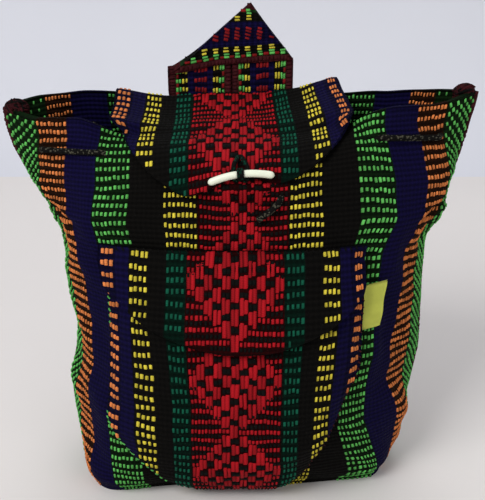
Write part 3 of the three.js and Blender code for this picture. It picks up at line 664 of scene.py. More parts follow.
def smooth_path(points):
    """A dense centripetal curve through points."""
    p = np.asarray(points, float)
    p = np.vstack([2 * p[0] - p[1], p, 2 * p[-1] - p[-2]])
    knots = np.concatenate([[0], np.cumsum(np.sqrt(np.linalg.norm(np.diff(p, axis=0), axis=1)))])
    line = []
    for i in range(1, len(p) - 2):
        k = knots[i - 1 : i + 3]
        t = np.linspace(k[1], k[2], PATH_STEPS, endpoint=False)[:, None]
        q = p[i - 1 : i + 3]
        a = [((k[j + 1] - t) * q[j] + (t - k[j]) * q[j + 1]) / (k[j + 1] - k[j]) for j in range(3)]
        b = [((k[j + 2] - t) * a[j] + (t - k[j]) * a[j + 1]) / (k[j + 2] - k[j]) for j in range(2)]
        line.append(((k[2] - t) * b[0] + (t - k[1]) * b[1]) / (k[2] - k[1]))
    return np.vstack([*line, p[-2:-1]])


def even_path(points, step):
    """The same curve as points a fixed step apart, and its length."""
    line = smooth_path(points)
    along = lengths_along(line)
    at = np.linspace(0, along[-1], max(2, round(along[-1] / step) + 1))
    return np.stack([np.interp(at, along, line[:, k]) for k in range(3)], 1), along[-1]


def flap_edge(s):
    """Height of the flap's rounded end, with its lower lobe at the left."""
    away = abs(s)
    corner = max(0.0, away - FLAP_END_HALF) / (ACCENT_HALF - FLAP_END_HALF)
    skew = FLAP_SKEW * (1 + np.clip(s / FLAP_END_HALF, -1, 0.35))
    straight = RIM - FLAP_FRONT_DROP + skew + FLAP_NOTCH * (1 - smooth(away, 0, FLAP_END_HALF))
    return straight + (FLAP_ROUND if s < 0 else FLAP_ROUND_RIGHT) * corner**FLAP_ROUNDING


def flap_route(across, front, back):
    """The way of one line of the flap: up the back, over the mouth and down the front."""
    lift = STRIPE_RISE + LAYER_GAP + CLOTH / 2
    behind, ahead = (
        SEWN_OFFSET + across * (FLAP_NARROW_LEFT if across < 0 else narrow)
        for narrow in (FLAP_NARROW_BACK, FLAP_NARROW_FRONT)
    )
    route = [back.at(behind, RIM - FLAP_SEAM_DROP * share, lift) for share in (1, 0.6, 0.2)]
    rise = sum(peak * smooth(hand * across, low, high) for hand, peak, low, high in FLAP_PEAKS)
    rim = back.at(behind, RIM)
    for out, up, share in FLAP_OVER_MOUTH:
        sideways = (ahead - behind) * max(0, -out) / FLAP_MOUTH_REACH
        route.append(rim + np.array([sideways, out, up + rise * share]))
    curl = FLAP_CURL * abs(across / ACCENT_HALF) ** 4
    lobes = sum(math.exp(-(((across - place) / half) ** 2)) for place, half in FLAP_LOBES)
    end = float(flap_edge(across)) + FLAP_ROLL_UP
    for height in FLAP_FRONT_HEIGHTS:
        roll = FLAP_ROLL * lobes * math.exp(-(((height - end) / FLAP_ROLL_HALF) ** 2))
        route.append(front.at(ahead, height, lift + curl * smooth(height, FLAP_CURL_FROM, RIM) + roll))
    return route


def flap_form():
    """The main flap from its seam behind the rim, sagging into the mouth and down over the front.
    Also gives the length of each line of cloth to the flap's cut edge."""
    s, v = np.linspace(-ACCENT_HALF, ACCENT_HALF, ACCENT_LINES), np.arange(0, FLAP_REACH, FLAP_STEP)
    front, back = settled_wall(FRONT), settled_wall(BACK)
    points, ends = np.zeros((len(s), len(v), 3)), np.zeros(len(s))
    for i, across in enumerate(s):
        line = smooth_path(flap_route(across, front, back))
        along = lengths_along(line)
        in_front = np.arange(len(line)) > FLAP_BACK_SPANS * PATH_STEPS
        ends[i] = along[np.argmax(in_front & (line[:, 2] < flap_edge(across)))]
        direction = (line[-1] - line[-2]) / np.linalg.norm(line[-1] - line[-2])
        beyond = np.maximum(0, v - along[-1])[:, None] * direction
        points[i] = np.stack([np.interp(v, along, line[:, k]) for k in range(3)], 1) + beyond
    soft = np.convolve(np.pad(ends, 2, mode="edge"), np.ones(5) / 5, mode="valid")
    return ClothForm(s, v, points, -1), s, soft


def pocket_low(s):
    """Height of the pocket's rounded lower edge."""
    height = np.where(np.asarray(s) < 0, *POCKET_CORNER_HEIGHT)
    corner = np.maximum(0, np.abs(s) - ACCENT_HALF + POCKET_CORNER_WIDTH) / POCKET_CORNER_WIDTH
    return POCKET_BOTTOM + height * corner**POCKET_CORNER_CURVE


def pocket_lift(s, height):
    """How far the pocket stands off the bag cloth."""
    low = pocket_low(s)
    up = np.clip((height - low) / (POCKET_TOP - low), 0, 1)
    belly = POCKET_BULGE * np.sin(np.pi * up**POCKET_BULGE_LOW)
    return SEWN_LIFT + (1 - (s / ACCENT_HALF) ** 4) * (belly + POCKET_SLACK * up**2)


def sewn_at(s, height):
    """Where on the bag cloth the pocket or its flap lies. The right edge is turned in at the top."""
    turned = smooth(s, TURN_IN_FROM, ACCENT_HALF) * smooth(height, *TURN_IN_HEIGHTS)
    return s + SEWN_OFFSET - POCKET_TURN_IN * turned


def pocket_form():
    """The front pocket: v is the height."""
    s, v = np.linspace(-ACCENT_HALF, ACCENT_HALF, ACCENT_LINES), np.linspace(0, POCKET_TOP, 112)
    ss, vv = np.meshgrid(s, v, indexing="ij")
    crease = POCKET_CREASE * waver(ss, vv, 51) * (1 - (ss / ACCENT_HALF) ** 4) * smooth(vv, *CREASE_START)
    lift = pocket_lift(ss, vv) + crease * (1 - smooth(vv, CREASE_END, POCKET_TOP))
    return ClothForm(s, v, slump(WALL[FRONT].at(sewn_at(ss, vv), vv, lift)), 1)


def pocket_flap_form():
    """The pocket's flap: v runs down from its seam. Also gives the length of each line."""
    s, v = np.linspace(-ACCENT_HALF, ACCENT_HALF, ACCENT_LINES), np.linspace(0, POCKET_FLAP_MIDDLE + 6, 60)
    ss, vv = np.meshgrid(s, v, indexing="ij")
    height = POCKET_SEAM - vv
    over = np.clip((POCKET_SEAM - height) / (POCKET_SEAM - POCKET_TOP), 0, 1)
    outer = pocket_lift(ss, np.minimum(height, POCKET_TOP)) + CLOTH + STRIPE_RISE + LAYER_GAP
    wave = POCKET_FLAP_WAVE * (1 + np.sin(ss / POCKET_FLAP_WAVE_SIZE)) + POCKET_FLAP_SLACK
    wave = wave * smooth(vv, *POCKET_FLAP_WAVE_DOWN) * (1 - (ss / ACCENT_HALF) ** 2)
    swell = SWELL_RISE * smooth(ss, *SWELL_START) * (1 - smooth(ss, *SWELL_END))
    wave += swell * smooth(vv, *SWELL_DOWN)
    lift = (SEWN_LIFT - EDGE_TURN) * (1 - over) + outer * over + wave
    bell = np.cos(np.pi / 2 * s / ACCENT_HALF).clip(0) ** np.where(s < 0, *POCKET_FLAP_BELL)
    ends = POCKET_FLAP_SIDE + (POCKET_FLAP_MIDDLE - POCKET_FLAP_SIDE) * bell
    return ClothForm(s, v, slump(WALL[FRONT].at(sewn_at(ss, height), height, lift)), -1), s, ends


def strap_lift():
    """How far the straps stand off the back wall where they lie on the flap's seam."""
    return STRIPE_RISE + LAYER_GAP + CLOTH + STRIPE_RISE + 2 * LAYER_GAP + STRAP_THICK / 2


def askew(points):
    """The folded top of the straps stands askew: it leans down to the left and spreads there."""
    across, z = points[..., 0] - STRAP_OFFSET, points[..., 2]
    lean, spread = (
        smooth(z, *grows) * (1 - smooth(z, *fades)) for grows, fades in (POINT_LEANS, POINT_SPREADS)
    )
    moved = np.array(points)
    moved[..., 2] += POINT_LEAN_DOWN * across / (2 * STRAP_HALF) * lean
    moved[..., 0] -= POINT_SPREAD * smooth(-across, POINT_SPREAD_FROM, 2 * STRAP_HALF) * spread
    return moved


def strap_form(hand):
    """One leg of the straps: v runs down it from the folded point."""
    lift = strap_lift()
    top = STRAP_OFFSET + hand * (STRAP_HALF + 0.5)
    standing = WALL[BACK].at(STRAP_OFFSET, RIM)[1] + lift
    foot = WALL[BACK].at(hand * STRAP_FOOT[0], STRAP_FOOT[1], STRIPE_RISE + LAYER_GAP + STRAP_THICK / 2)

    def bowed(down, out):
        height = STRAP_SEAM + (STRAP_FOOT[1] - STRAP_SEAM) * down
        x = top + (foot[0] - top) * smooth(down, 0.1, 1)
        return np.array([x, WALL[BACK].at(top, height)[1] + lift + out, height])

    low = bowed(1, STRAP_BOW_LOW)
    low[2] = STRAP_FOOT[1] / 2
    seam = WALL[BACK].at(top, STRAP_SEAM, lift)
    seam[0] = top
    route = [[top, standing, STRAP_POINT_BASE], [top, standing, RIM], seam]
    route += [bowed(down, STRAP_BOW * bow) for down, bow in STRAP_BOWED] + [low, foot]
    line, total = even_path(route, 2.0)
    tangent = np.gradient(line, axis=0)
    tangent /= np.linalg.norm(tangent, axis=1, keepdims=True)
    across = np.array([1.0, 0, 0]) - tangent * tangent[:, :1]
    across /= np.linalg.norm(across, axis=1, keepdims=True)
    s = np.linspace(-STRAP_HALF, STRAP_HALF, 11)
    points = line[None] + s[:, None, None] * across[None]
    return ClothForm(s, np.linspace(0, total, len(line)), askew(slump(points)), -1), total


def strap_point_form(front):
    """The front or back face of the folded point: v runs across it and s up, as the webbing lies there."""
    half = STRAP_POINT_HALF
    s, v = np.linspace(-STRAP_HALF, STRAP_HALF, 26), np.linspace(-half, half, 52)
    ss, vv = np.meshgrid(s, v, indexing="ij")
    up = (ss + STRAP_HALF) / (2 * STRAP_HALF)
    y = WALL[BACK].at(STRAP_OFFSET, RIM)[1] + strap_lift() - STRAP_THICK / 2 + np.zeros(ss.shape)
    z = STRAP_POINT_BASE - LAYER_GAP + POINT_HEIGHT_KEPT * (ss + STRAP_HALF)
    if front:
        y -= POINT_PUFF * np.sin(np.pi * up.clip(0, 1)) + POINT_FRONT_OUT
        z -= POINT_SAG * smooth(-vv, POINT_SAG_FROM, half) * (1 - up)
    else:
        y += POINT_BACK_OUT
    return ClothForm(s, v, askew(np.stack([vv + STRAP_OFFSET, y, z], -1)), -1 if front else 1)


def make_object(name, points, faces, materials, indices=None, maps=()):
    """A mesh object from points in mm, with smooth faces, materials and named UV maps given per corner."""
    mesh = bpy.data.meshes.new(name)
    faces = faces.tolist() if isinstance(faces, np.ndarray) else faces
    mesh.from_pydata((np.asarray(points) * MM).tolist(), [], faces)
    for material in materials:
        mesh.materials.append(material)
    if indices is not None:
        mesh.polygons.foreach_set("material_index", np.asarray(indices, np.int32))
    mesh.polygons.foreach_set("use_smooth", np.ones(len(mesh.polygons), bool))
    for map_name, values in maps:
        layer = mesh.uv_layers.new(name=map_name)
        layer.data.foreach_set("uv", np.asarray(values, np.float32).ravel())
    mesh.update()
    obj = bpy.data.objects.new(name, mesh)
    bpy.context.scene.collection.objects.link(obj)
    return obj


def grid_faces(columns, rows, start=0):
    """Quads of a grid of points numbered column by column."""
    i, j = np.meshgrid(np.arange(columns - 1), np.arange(rows - 1), indexing="ij")
    a = (start + i * rows + j).ravel()
    return np.stack([a, a + rows, a + rows + 1, a + 1], 1)


def tube_faces(rings, sides):
    """Quads between the rings of a tube, each ring numbered after the one before."""
    i, k = np.meshgrid(np.arange(rings - 1), np.arange(sides), indexing="ij")
    a, b = i * sides + k, i * sides + (k + 1) % sides
    return np.stack([a, b, b + sides, a + sides], -1).reshape(-1, 4)


def rim_loop(columns, rows):
    """Point numbers once round the edge of such a grid."""
    first, last = np.arange(rows), (columns - 1) * rows
    near, far = np.arange(1, columns) * rows, np.arange(columns - 2, 0, -1) * rows + rows - 1
    return np.concatenate([first[::-1], near, last + first[1:], far])


def cloth_shell(name, outer, inner, cloth, materials, edge=1.0):
    """A closed sheet from the points of its outer and inner face, with a rounded edge.
    cloth holds s and v in mm at each point. Each face has its own place in the bake map."""
    columns, rows = outer.shape[:2]
    count = columns * rows
    loop = rim_loop(columns, rows)
    middle = (outer + inner) / 2
    outward = np.zeros_like(middle)
    outward[0] += middle[0] - middle[1]
    outward[-1] += middle[-1] - middle[-2]
    outward[:, 0] += middle[:, 0] - middle[:, 1]
    outward[:, -1] += middle[:, -1] - middle[:, -2]
    out = outward.reshape(-1, 3)[loop]
    out /= np.linalg.norm(out, axis=1, keepdims=True).clip(1e-6)
    rim = middle.reshape(-1, 3)[loop] + out * edge
    points = np.vstack([outer.reshape(-1, 3), inner.reshape(-1, 3), rim])
    top = grid_faces(columns, rows)
    bottom = grid_faces(columns, rows, count)[:, ::-1]
    ring = 2 * count + np.arange(len(loop))
    following = np.roll(np.arange(len(loop)), -1)
    upper = np.stack([loop, loop[following], ring[following], ring], 1)
    lower = np.stack([ring, ring[following], count + loop[following], count + loop], 1)
    faces = np.vstack([top, upper, bottom, lower])
    flat = cloth.reshape(-1, 2)
    low, size = flat.min(0), np.ptp(flat, axis=0).max()
    width = np.ptp(flat[:, 0]) / size
    scale = 0.94 / max(1.0, 2 * width + 0.06)
    chart = (flat - low) / size * scale + 0.02
    from_centre = chart[loop] - chart.mean(0)
    border = chart[loop] + from_centre / np.linalg.norm(from_centre, axis=1, keepdims=True) * 0.004
    other = np.array([width * scale + 0.04, 0])
    first = np.vstack([chart, chart + other, border])
    second = np.vstack([chart, chart + other, border + other])
    split = len(top) + len(upper)
    bake = np.concatenate([first[faces[:split].ravel()], second[faces[split:].ravel()]])
    pattern = np.vstack([flat, flat, flat[loop]])[faces.ravel()]
    return make_object(name, points, faces, materials, None, [("Cloth", pattern), ("OFBake", bake)])


def trimmed_grid(s, low, high, rows):
    """Cloth places of a sheet whose lines run from low to high."""
    share = np.linspace(0, 1, rows)
    v = low[:, None] + (high - low)[:, None] * share[None]
    return np.stack([np.broadcast_to(s[:, None], v.shape), v], -1)


def sheet_from(form, name, places, materials, thick=SHEET):
    """A closed sheet of even thickness about a form's middle."""
    s, v = places[..., 0], places[..., 1]
    outer, inner = form.at(s, v, thick / 2), form.at(s, v, -thick / 2)
    return cloth_shell(name, outer, inner, places, materials, thick * 0.35)


class Floats:
    """Float yarns of one cloth: place, half width, half length, slant and dye of each."""

    ACROSS = np.array([-1, -0.5, 0.5, 1.0])
    ALONG = np.array([-1, -0.68, 0.68, 1.0])

    # Uneven spinning: least and most share of a yarn's width, length and rise, and the spread of its slant
    WIDTHS, LENGTHS, RISES, SLANTS = (0.82, 1.14), (0.8, 1.15), (0.85, 1.12), 0.03

    # How far the yarns wander along and across the cloth, in mm
    WANDER = (1.3, 0.7)

    def __init__(self, dyes, seed=SEED):
        self.dyes, self.rows, self.seed = list(dyes), [], seed
        self.random = np.random.default_rng(seed)

    def add(self, dye, s, v, half_width, half_length, slant=0.0, wobble=0.25):
        """One yarn, a little out of place and of uneven size."""
        r = self.random
        self.rows.append(
            (s + r.normal(0, wobble * 0.5), v + r.normal(0, wobble),
             half_width * r.uniform(*self.WIDTHS), half_length * r.uniform(*self.LENGTHS),
             slant + r.normal(0, self.SLANTS), self.dyes.index(dye))
        )

    def build(self, name, form, rise, lift, sink=FLOAT_SINK):
        """Pillows on a form, each with its own cell of the bake map."""
        rows = np.array(self.rows)
        rows[:, 1] += self.WANDER[0] * waver(rows[:, 0], rows[:, 1], self.seed)
        rows[:, 0] += self.WANDER[1] * waver(rows[:, 0], rows[:, 1], self.seed + 1)
        uu, ww = (g.ravel() for g in np.meshgrid(self.ACROSS, self.ALONG, indexing="ij"))
        width, along = rows[:, 2:3] * uu[None], rows[:, 3:4] * ww[None]
        cos, sin = np.cos(rows[:, 4:5]), np.sin(rows[:, 4:5])
        s = rows[:, 0:1] + width * cos - along * sin
        v = rows[:, 1:2] + along * cos + width * sin
        hump = (np.sqrt(1 - uu**2) * np.sqrt(1 - ww**4))[None] * rise
        hump = hump * self.random.uniform(*self.RISES, (len(rows), 1))
        points = form.at(s, v, hump + lift - sink)
        faces = grid_faces(4, 4)
        facing = np.cross(points[:, 12] - points[:, 0], points[:, 3] - points[:, 0])
        top, foot = points[:, [5, 6, 9, 10]].mean(1), points[:, [0, 3, 12, 15]].mean(1)
        flip = np.einsum("ij,ij->i", facing, top - foot) < 0
        every = faces[None] + 16 * np.arange(len(rows))[:, None, None]
        every[flip] = every[flip][:, :, ::-1]
        cells = math.ceil(math.sqrt(len(rows)))
        cell = np.stack([np.arange(len(rows)) % cells, np.arange(len(rows)) // cells], 1)
        local = np.stack([uu, ww], 1) * 0.42 + 0.5
        bake = ((cell[:, None] + local[None]) / cells).reshape(-1, 2)
        yarn = np.stack([np.broadcast_to(uu, s.shape), along], -1).reshape(-1, 2)
        corners = every.reshape(-1, 4)
        dye = np.repeat(rows[:, 5].astype(int), len(faces))
        maps = [("Yarn", yarn[corners.ravel()]), ("OFBake", bake[corners.ravel()])]
        return make_object(name, points.reshape(-1, 3), corners, yarn_materials(self.dyes), dye, maps)


def red_band(floats, row, v, row_pitch, brick_pitch, dash_pitch, keep):
    """One row of the middle band: an hourglass of bricks in checkerboard, and small dashes beside them.
    Black floats fill the squares between bricks and the lines between the rows of dashes."""
    reach = abs(row % (2 * BRICK_REACH) - BRICK_REACH)
    for k in range(-reach, reach + 1):
        if not keep(k * brick_pitch, v):
            continue
        dye, long = ("red", RED_LONG) if (k + reach) % 2 == 0 else ("black", BLACK_LONG)
        for strand in (-STRAND_OUT, STRAND_OUT):
            s = (k + strand) * brick_pitch
            floats.add(dye, s, v, STRAND_HALF * brick_pitch, long * row_pitch, 0, 0.15)
    edge = (reach + 0.5) * brick_pitch
    count = max(0, round((RED_HALF - edge) / dash_pitch))
    for hand in (-1, 1):
        for k in range(count):
            s = hand * (edge + (k + 0.5) * (RED_HALF - edge) / count)
            for dye, up in (("red", 0.0), ("black", 0.5)):
                at = v + up * row_pitch
                if keep(s, at):
                    floats.add(dye, s, at, SMALL_DASH_WIDE * dash_pitch, SMALL_DASH_LONG * row_pitch, 0, 0.18)


def node(tree, kind, inputs=(), **settings):
    """Adds a node with its settings. Each input is a value, or the socket or node that is linked to it."""
    made = tree.nodes.new(kind)
    for name, value in settings.items():
        setattr(made, name, value)
    for key, value in dict(inputs).items():
        if isinstance(value, bpy.types.Node):
            value = value.outputs[0]
        if isinstance(value, bpy.types.NodeSocket):
            tree.links.new(value, made.inputs[key])
        else:
            made.inputs[key].default_value = value
    return made


def new_material(name):
    """An empty node material and its tree."""
    material = bpy.data.materials.new(name)
    material.use_nodes = True
    material.node_tree.nodes.clear()
    return material, material.node_tree


def ground_material(name, bands, half, rib, cross_rib):
    """Handwoven cotton ground: thick weft ribs in dull dark dyes, with uneven fibre tone. Painted shade
    darkens the rib hollows and a painted highlight lightens each rib's top. The ribs are spaced in mm, about
    two to each row of dashes. Each name is made once."""
    if name in bpy.data.materials:
        return bpy.data.materials[name]
    material, tree = new_material(name)
    cloth = node(tree, "ShaderNodeUVMap", uv_map="Cloth")
    across, along = node(tree, "ShaderNodeSeparateXYZ", {0: cloth}).outputs[:2]
    away = node(tree, "ShaderNodeMath", {0: across}, operation="ABSOLUTE")
    ramp = node(tree, "ShaderNodeValToRGB",
                {0: node(tree, "ShaderNodeMath", {0: away, 1: half}, operation="DIVIDE")})
    ramp.color_ramp.interpolation = "CONSTANT"
    elements = ramp.color_ramp.elements
    for i, (start, dye, share) in enumerate(bands):
        element = elements[i] if i < 2 else elements.new(1.0)
        element.position = start / half
        element.color = darker(getattr(dyes(), dye), share)
    down = node(tree, "ShaderNodeMath", {0: along, 1: 2 * math.pi / rib}, operation="MULTIPLY")
    weft = node(tree, "ShaderNodeMath", {0: down}, operation="SINE")
    sideways = node(tree, "ShaderNodeMath", {0: across, 1: 2 * math.pi / cross_rib}, operation="MULTIPLY")
    warp = node(tree, "ShaderNodeMath", {0: sideways}, operation="SINE")
    both = node(tree, "ShaderNodeMath", {0: warp, 1: 0.45, 2: weft}, operation="MULTIPLY_ADD")
    fibre = node(tree, "ShaderNodeTexNoise", {"Vector": cloth, "Scale": 0.9, "Detail": 4.0, "Roughness": 0.6},
                 noise_dimensions="2D")
    height = node(tree, "ShaderNodeMath", {0: fibre, 1: 1.4, 2: both}, operation="MULTIPLY_ADD")
    # Painted shade and highlight: the ground's colour is scaled by the rib relief, darker in the hollows and
    # lighter on the tops, and by the fibre noise's uneven tone
    shade = node(tree, "ShaderNodeMapRange", {0: height, 1: -1.2, 2: 2.2, 3: 0.45, 4: 1.7})
    tint = node(tree, "ShaderNodeVectorMath", {0: ramp, "Scale": shade}, operation="SCALE")
    bump = node(tree, "ShaderNodeBump", {"Strength": 0.6, "Distance": 0.0006, "Height": height})
    shader = node(tree, "ShaderNodeBsdfPrincipled",
                  {"Base Color": tint, "Normal": bump, "Roughness": 0.9, "Specular IOR Level": 0.06})
    node(tree, "ShaderNodeOutputMaterial", {"Surface": shader})
    return material


def yarn_material(name, dye):
    """Soft two-ply cotton yarn: each float takes the dye a little differently, and its twist, one turn in
    1.3 mm, shows as fine ridges in the bump and as painted shade. Each float is painted lighter along its
    crest and darker at its sides: painted highlight and shade of its round top."""
    material, tree = new_material(name)
    yarn = node(tree, "ShaderNodeUVMap", uv_map="Yarn")
    across, along = node(tree, "ShaderNodeSeparateXYZ", {0: yarn}).outputs[:2]
    slant = node(tree, "ShaderNodeMath", {0: across, 1: 2.2}, operation="MULTIPLY")
    turn = node(tree, "ShaderNodeMath", {0: along, 1: 2 * math.pi / 1.3, 2: slant}, operation="MULTIPLY_ADD")
    twist = node(tree, "ShaderNodeMath", {0: turn}, operation="SINE")
    island = node(tree, "ShaderNodeNewGeometry").outputs["Random Per Island"]
    lot = node(tree, "ShaderNodeMapRange", {0: island, 3: 0.7, 4: 1.18})
    # Painted highlight and shade: the dye is brightened along each float's crest and darkened towards its
    # sides, and the twist adds painted shade in fine ridges
    full = node(tree, "ShaderNodeMath", {0: lot, 1: 1.12}, operation="MULTIPLY")
    away = node(tree, "ShaderNodeMath", {0: across}, operation="ABSOLUTE")
    rounded = node(tree, "ShaderNodeMath", {0: away, 1: -0.45, 2: full}, operation="MULTIPLY_ADD")
    shade = node(tree, "ShaderNodeMath", {0: twist, 1: 0.1, 2: rounded}, operation="MULTIPLY_ADD")
    tint = node(tree, "ShaderNodeVectorMath", {0: dye[:3], "Scale": shade}, operation="SCALE")
    bump = node(tree, "ShaderNodeBump", {"Strength": 0.35, "Distance": 0.0003, "Height": twist})
    shader = node(tree, "ShaderNodeBsdfPrincipled",
                  {"Base Color": tint, "Normal": bump, "Roughness": 0.82, "Specular IOR Level": 0.1})
    node(tree, "ShaderNodeOutputMaterial", {"Surface": shader})
    return material


def yarn_materials(names):
    """One yarn material for each dye, made once."""
    made = []
    for name in names:
        key = "cotton_yarn_" + name
        made.append(bpy.data.materials.get(key) or yarn_material(key, tuple(getattr(dyes(), name))))
    return made


def cord_material(name, dark, light, share):
    """Braided or twisted cotton cord: dark strands, about 1.25 mm across, with light ones that surface as
    specks. Each strand is painted lighter in its middle and darker at its edges: painted shade between
    strands."""
    material, tree = new_material(name)
    around = node(tree, "ShaderNodeUVMap", uv_map="Cord")
    strands = node(tree, "ShaderNodeTexVoronoi", {"Vector": around, "Scale": 0.8}, voronoi_dimensions="2D")
    pick = node(tree, "ShaderNodeSeparateColor", {0: strands.outputs["Color"]})
    speck = node(tree, "ShaderNodeMath", {0: pick, 1: 1 - share}, operation="GREATER_THAN")
    # Painted shade between strands: each strand's colour is lighter in its middle and darker towards its
    # edges
    rounded = node(tree, "ShaderNodeMapRange",
                   {0: strands.outputs["Distance"], 1: 0.0, 2: 0.8, 3: 1.2, 4: 0.35})
    mixed = node(tree, "ShaderNodeMix", {0: speck, 6: dark, 7: light}, data_type="RGBA")
    tint = node(tree, "ShaderNodeVectorMath", {0: mixed.outputs[2], "Scale": rounded}, operation="SCALE")
    bump = node(tree, "ShaderNodeBump", {"Strength": 0.5, "Distance": 0.0004, "Height": rounded})
    shader = node(tree, "ShaderNodeBsdfPrincipled",
                  {"Base Color": tint, "Normal": bump, "Roughness": 0.9, "Specular IOR Level": 0.08})
    node(tree, "ShaderNodeOutputMaterial", {"Surface": shader})
    return material


def toggle_material(name, tint):
    """Moulded off-white nylon: satin, with faint cloudiness and handling marks some 5 mm across."""
    material, tree = new_material(name)
    place = node(tree, "ShaderNodeTexCoord").outputs["Object"]
    cloud = node(tree, "ShaderNodeTexNoise", {"Vector": place, "Scale": 180.0, "Detail": 3.0})
    shade = node(tree, "ShaderNodeMapRange", {0: cloud, 3: 0.86, 4: 1.04})
    base = node(tree, "ShaderNodeVectorMath", {0: tint[:3], "Scale": shade}, operation="SCALE")
    rough = node(tree, "ShaderNodeMapRange", {0: cloud, 3: 0.3, 4: 0.5})
    shader = node(tree, "ShaderNodeBsdfPrincipled", {"Base Color": base, "Roughness": rough, "IOR": 1.53})
    node(tree, "ShaderNodeOutputMaterial", {"Surface": shader})
    return material


def label_material(name, tint):
    """Woven cotton tape: a plain weave, a little soiled, with painted shade at its thread crossings. Such
    threads are about half a millimetre apart, and are drawn 0.8 mm apart so that they show."""
    material, tree = new_material(name)
    cloth = node(tree, "ShaderNodeUVMap", uv_map="Cloth")
    threads = []
    for place in node(tree, "ShaderNodeSeparateXYZ", {0: cloth}).outputs[:2]:
        turn = node(tree, "ShaderNodeMath", {0: place, 1: 2 * math.pi / 0.8}, operation="MULTIPLY")
        threads.append(node(tree, "ShaderNodeMath", {0: turn}, operation="SINE"))
    weave = node(tree, "ShaderNodeMath", {0: threads[1], 1: threads[0]}, operation="MULTIPLY")
    soil = node(tree, "ShaderNodeTexNoise", {"Vector": cloth, "Scale": 0.12, "Detail": 4.0},
                noise_dimensions="2D")
    worn = node(tree, "ShaderNodeMapRange", {0: soil, 3: 0.8, 4: 1.08})
    # Painted shade of the weave: the tape's colour is a little lighter and darker with the threads, over the
    # uneven soiling
    shade = node(tree, "ShaderNodeMath", {0: weave, 1: 0.07, 2: worn}, operation="MULTIPLY_ADD")
    base = node(tree, "ShaderNodeVectorMath", {0: tint[:3], "Scale": shade}, operation="SCALE")
    bump = node(tree, "ShaderNodeBump", {"Strength": 0.4, "Distance": 0.0002, "Height": weave})
    shader = node(tree, "ShaderNodeBsdfPrincipled", {"Base Color": base, "Normal": bump, "Roughness": 0.8})
    node(tree, "ShaderNodeOutputMaterial", {"Surface": shader})
    return material


def stage_material(name, tint):
    """Matt painted board: plain, with a hardly visible mottle."""
    material, tree = new_material(name)
    place = node(tree, "ShaderNodeTexCoord").outputs["Object"]
    cloud = node(tree, "ShaderNodeTexNoise", {"Vector": place, "Scale": 3.0, "Detail": 3.0})
    shade = node(tree, "ShaderNodeMapRange", {0: cloud, 3: 0.97, 4: 1.03})
    base = node(tree, "ShaderNodeVectorMath", {0: tint[:3], "Scale": shade}, operation="SCALE")
    shader = node(tree, "ShaderNodeBsdfPrincipled", {"Base Color": base, "Roughness": 0.9})
    node(tree, "ShaderNodeOutputMaterial", {"Surface": shader})
    return material


def put_on_bag(obj, slot, *nodes):
    """The piece rides on the bag and stands for its solids, which are hidden. Its slot is not used."""
    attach(obj, "root")
    if nodes:
        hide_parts(*nodes)
    return obj


def stitches(name, form, route, dye_at, slot):
    """Whip stitches along a route of places on a cloth, each turned across the seam."""
    route = np.asarray(route, float)
    along = lengths_along(route)
    floats = Floats(STITCH_DYES, SEED + 40)
    for at in np.arange(STITCH_PITCH / 2, along[-1], STITCH_PITCH):
        (s, ds), (v, dv) = (np.interp((at, at + 0.5), along, route[:, axis]) for axis in (0, 1))
        turn = math.atan2(s - ds, dv - v) + STITCH_TURN
        floats.add(dye_at(s, v), s, v, STITCH_HALF_WIDTH, STITCH_HALF_LENGTH, turn, 0.08)
    return put_on_bag(floats.build(name, form, 1.1, 1.6), slot)


def frayed(name, middle, reach, count, seed, materials):
    """A knot of loose selvedge yarn round a place in mm: short strands that lie over one another."""
    r = np.random.default_rng(seed)
    first = r.normal(0, 1, (count, 3))
    first /= np.linalg.norm(first, axis=1, keepdims=True)
    second = np.cross(first, r.normal(0, 1, (count, 3)))
    second /= np.linalg.norm(second, axis=1, keepdims=True)
    rings, sides = 5, 4
    angle = np.linspace(-0.75, 0.75, rings)
    away = reach * r.uniform(0.6, 1.0, (count, 1, 1)) * (1 + 0.25 * np.abs(angle) ** 3)[None, :, None]
    way = np.cos(angle)[None, :, None] * first[:, None] + np.sin(angle)[None, :, None] * second[:, None]
    path = middle + way * away * np.array([1.25, 0.7, 1.0])
    other = np.cross(way, second[:, None])
    other /= np.linalg.norm(other, axis=2, keepdims=True)
    turn = np.arange(sides) * 2 * math.pi / sides
    ring = np.cos(turn)[:, None] * way[:, :, None] + np.sin(turn)[:, None] * other[:, :, None]
    points = path[:, :, None] + ring * (1.25 * np.cos(angle * 1.6))[None, :, None, None]
    ends = [[3, 2, 1, 0], [16, 17, 18, 19]]
    quads = np.vstack([tube_faces(rings, sides), ends])
    faces = (quads[None] + rings * sides * np.arange(count)[:, None, None]).reshape(-1, 4)
    yarn = np.stack(np.meshgrid(angle * reach, np.cos(turn), indexing="ij")[::-1], -1).reshape(-1, 2)
    dye = np.repeat(r.integers(0, len(materials), count), len(quads))
    maps = [("Yarn", np.tile(yarn, (count, 1))[faces.ravel()])]
    return make_object(name, points.reshape(-1, 3), faces, materials, dye, maps)


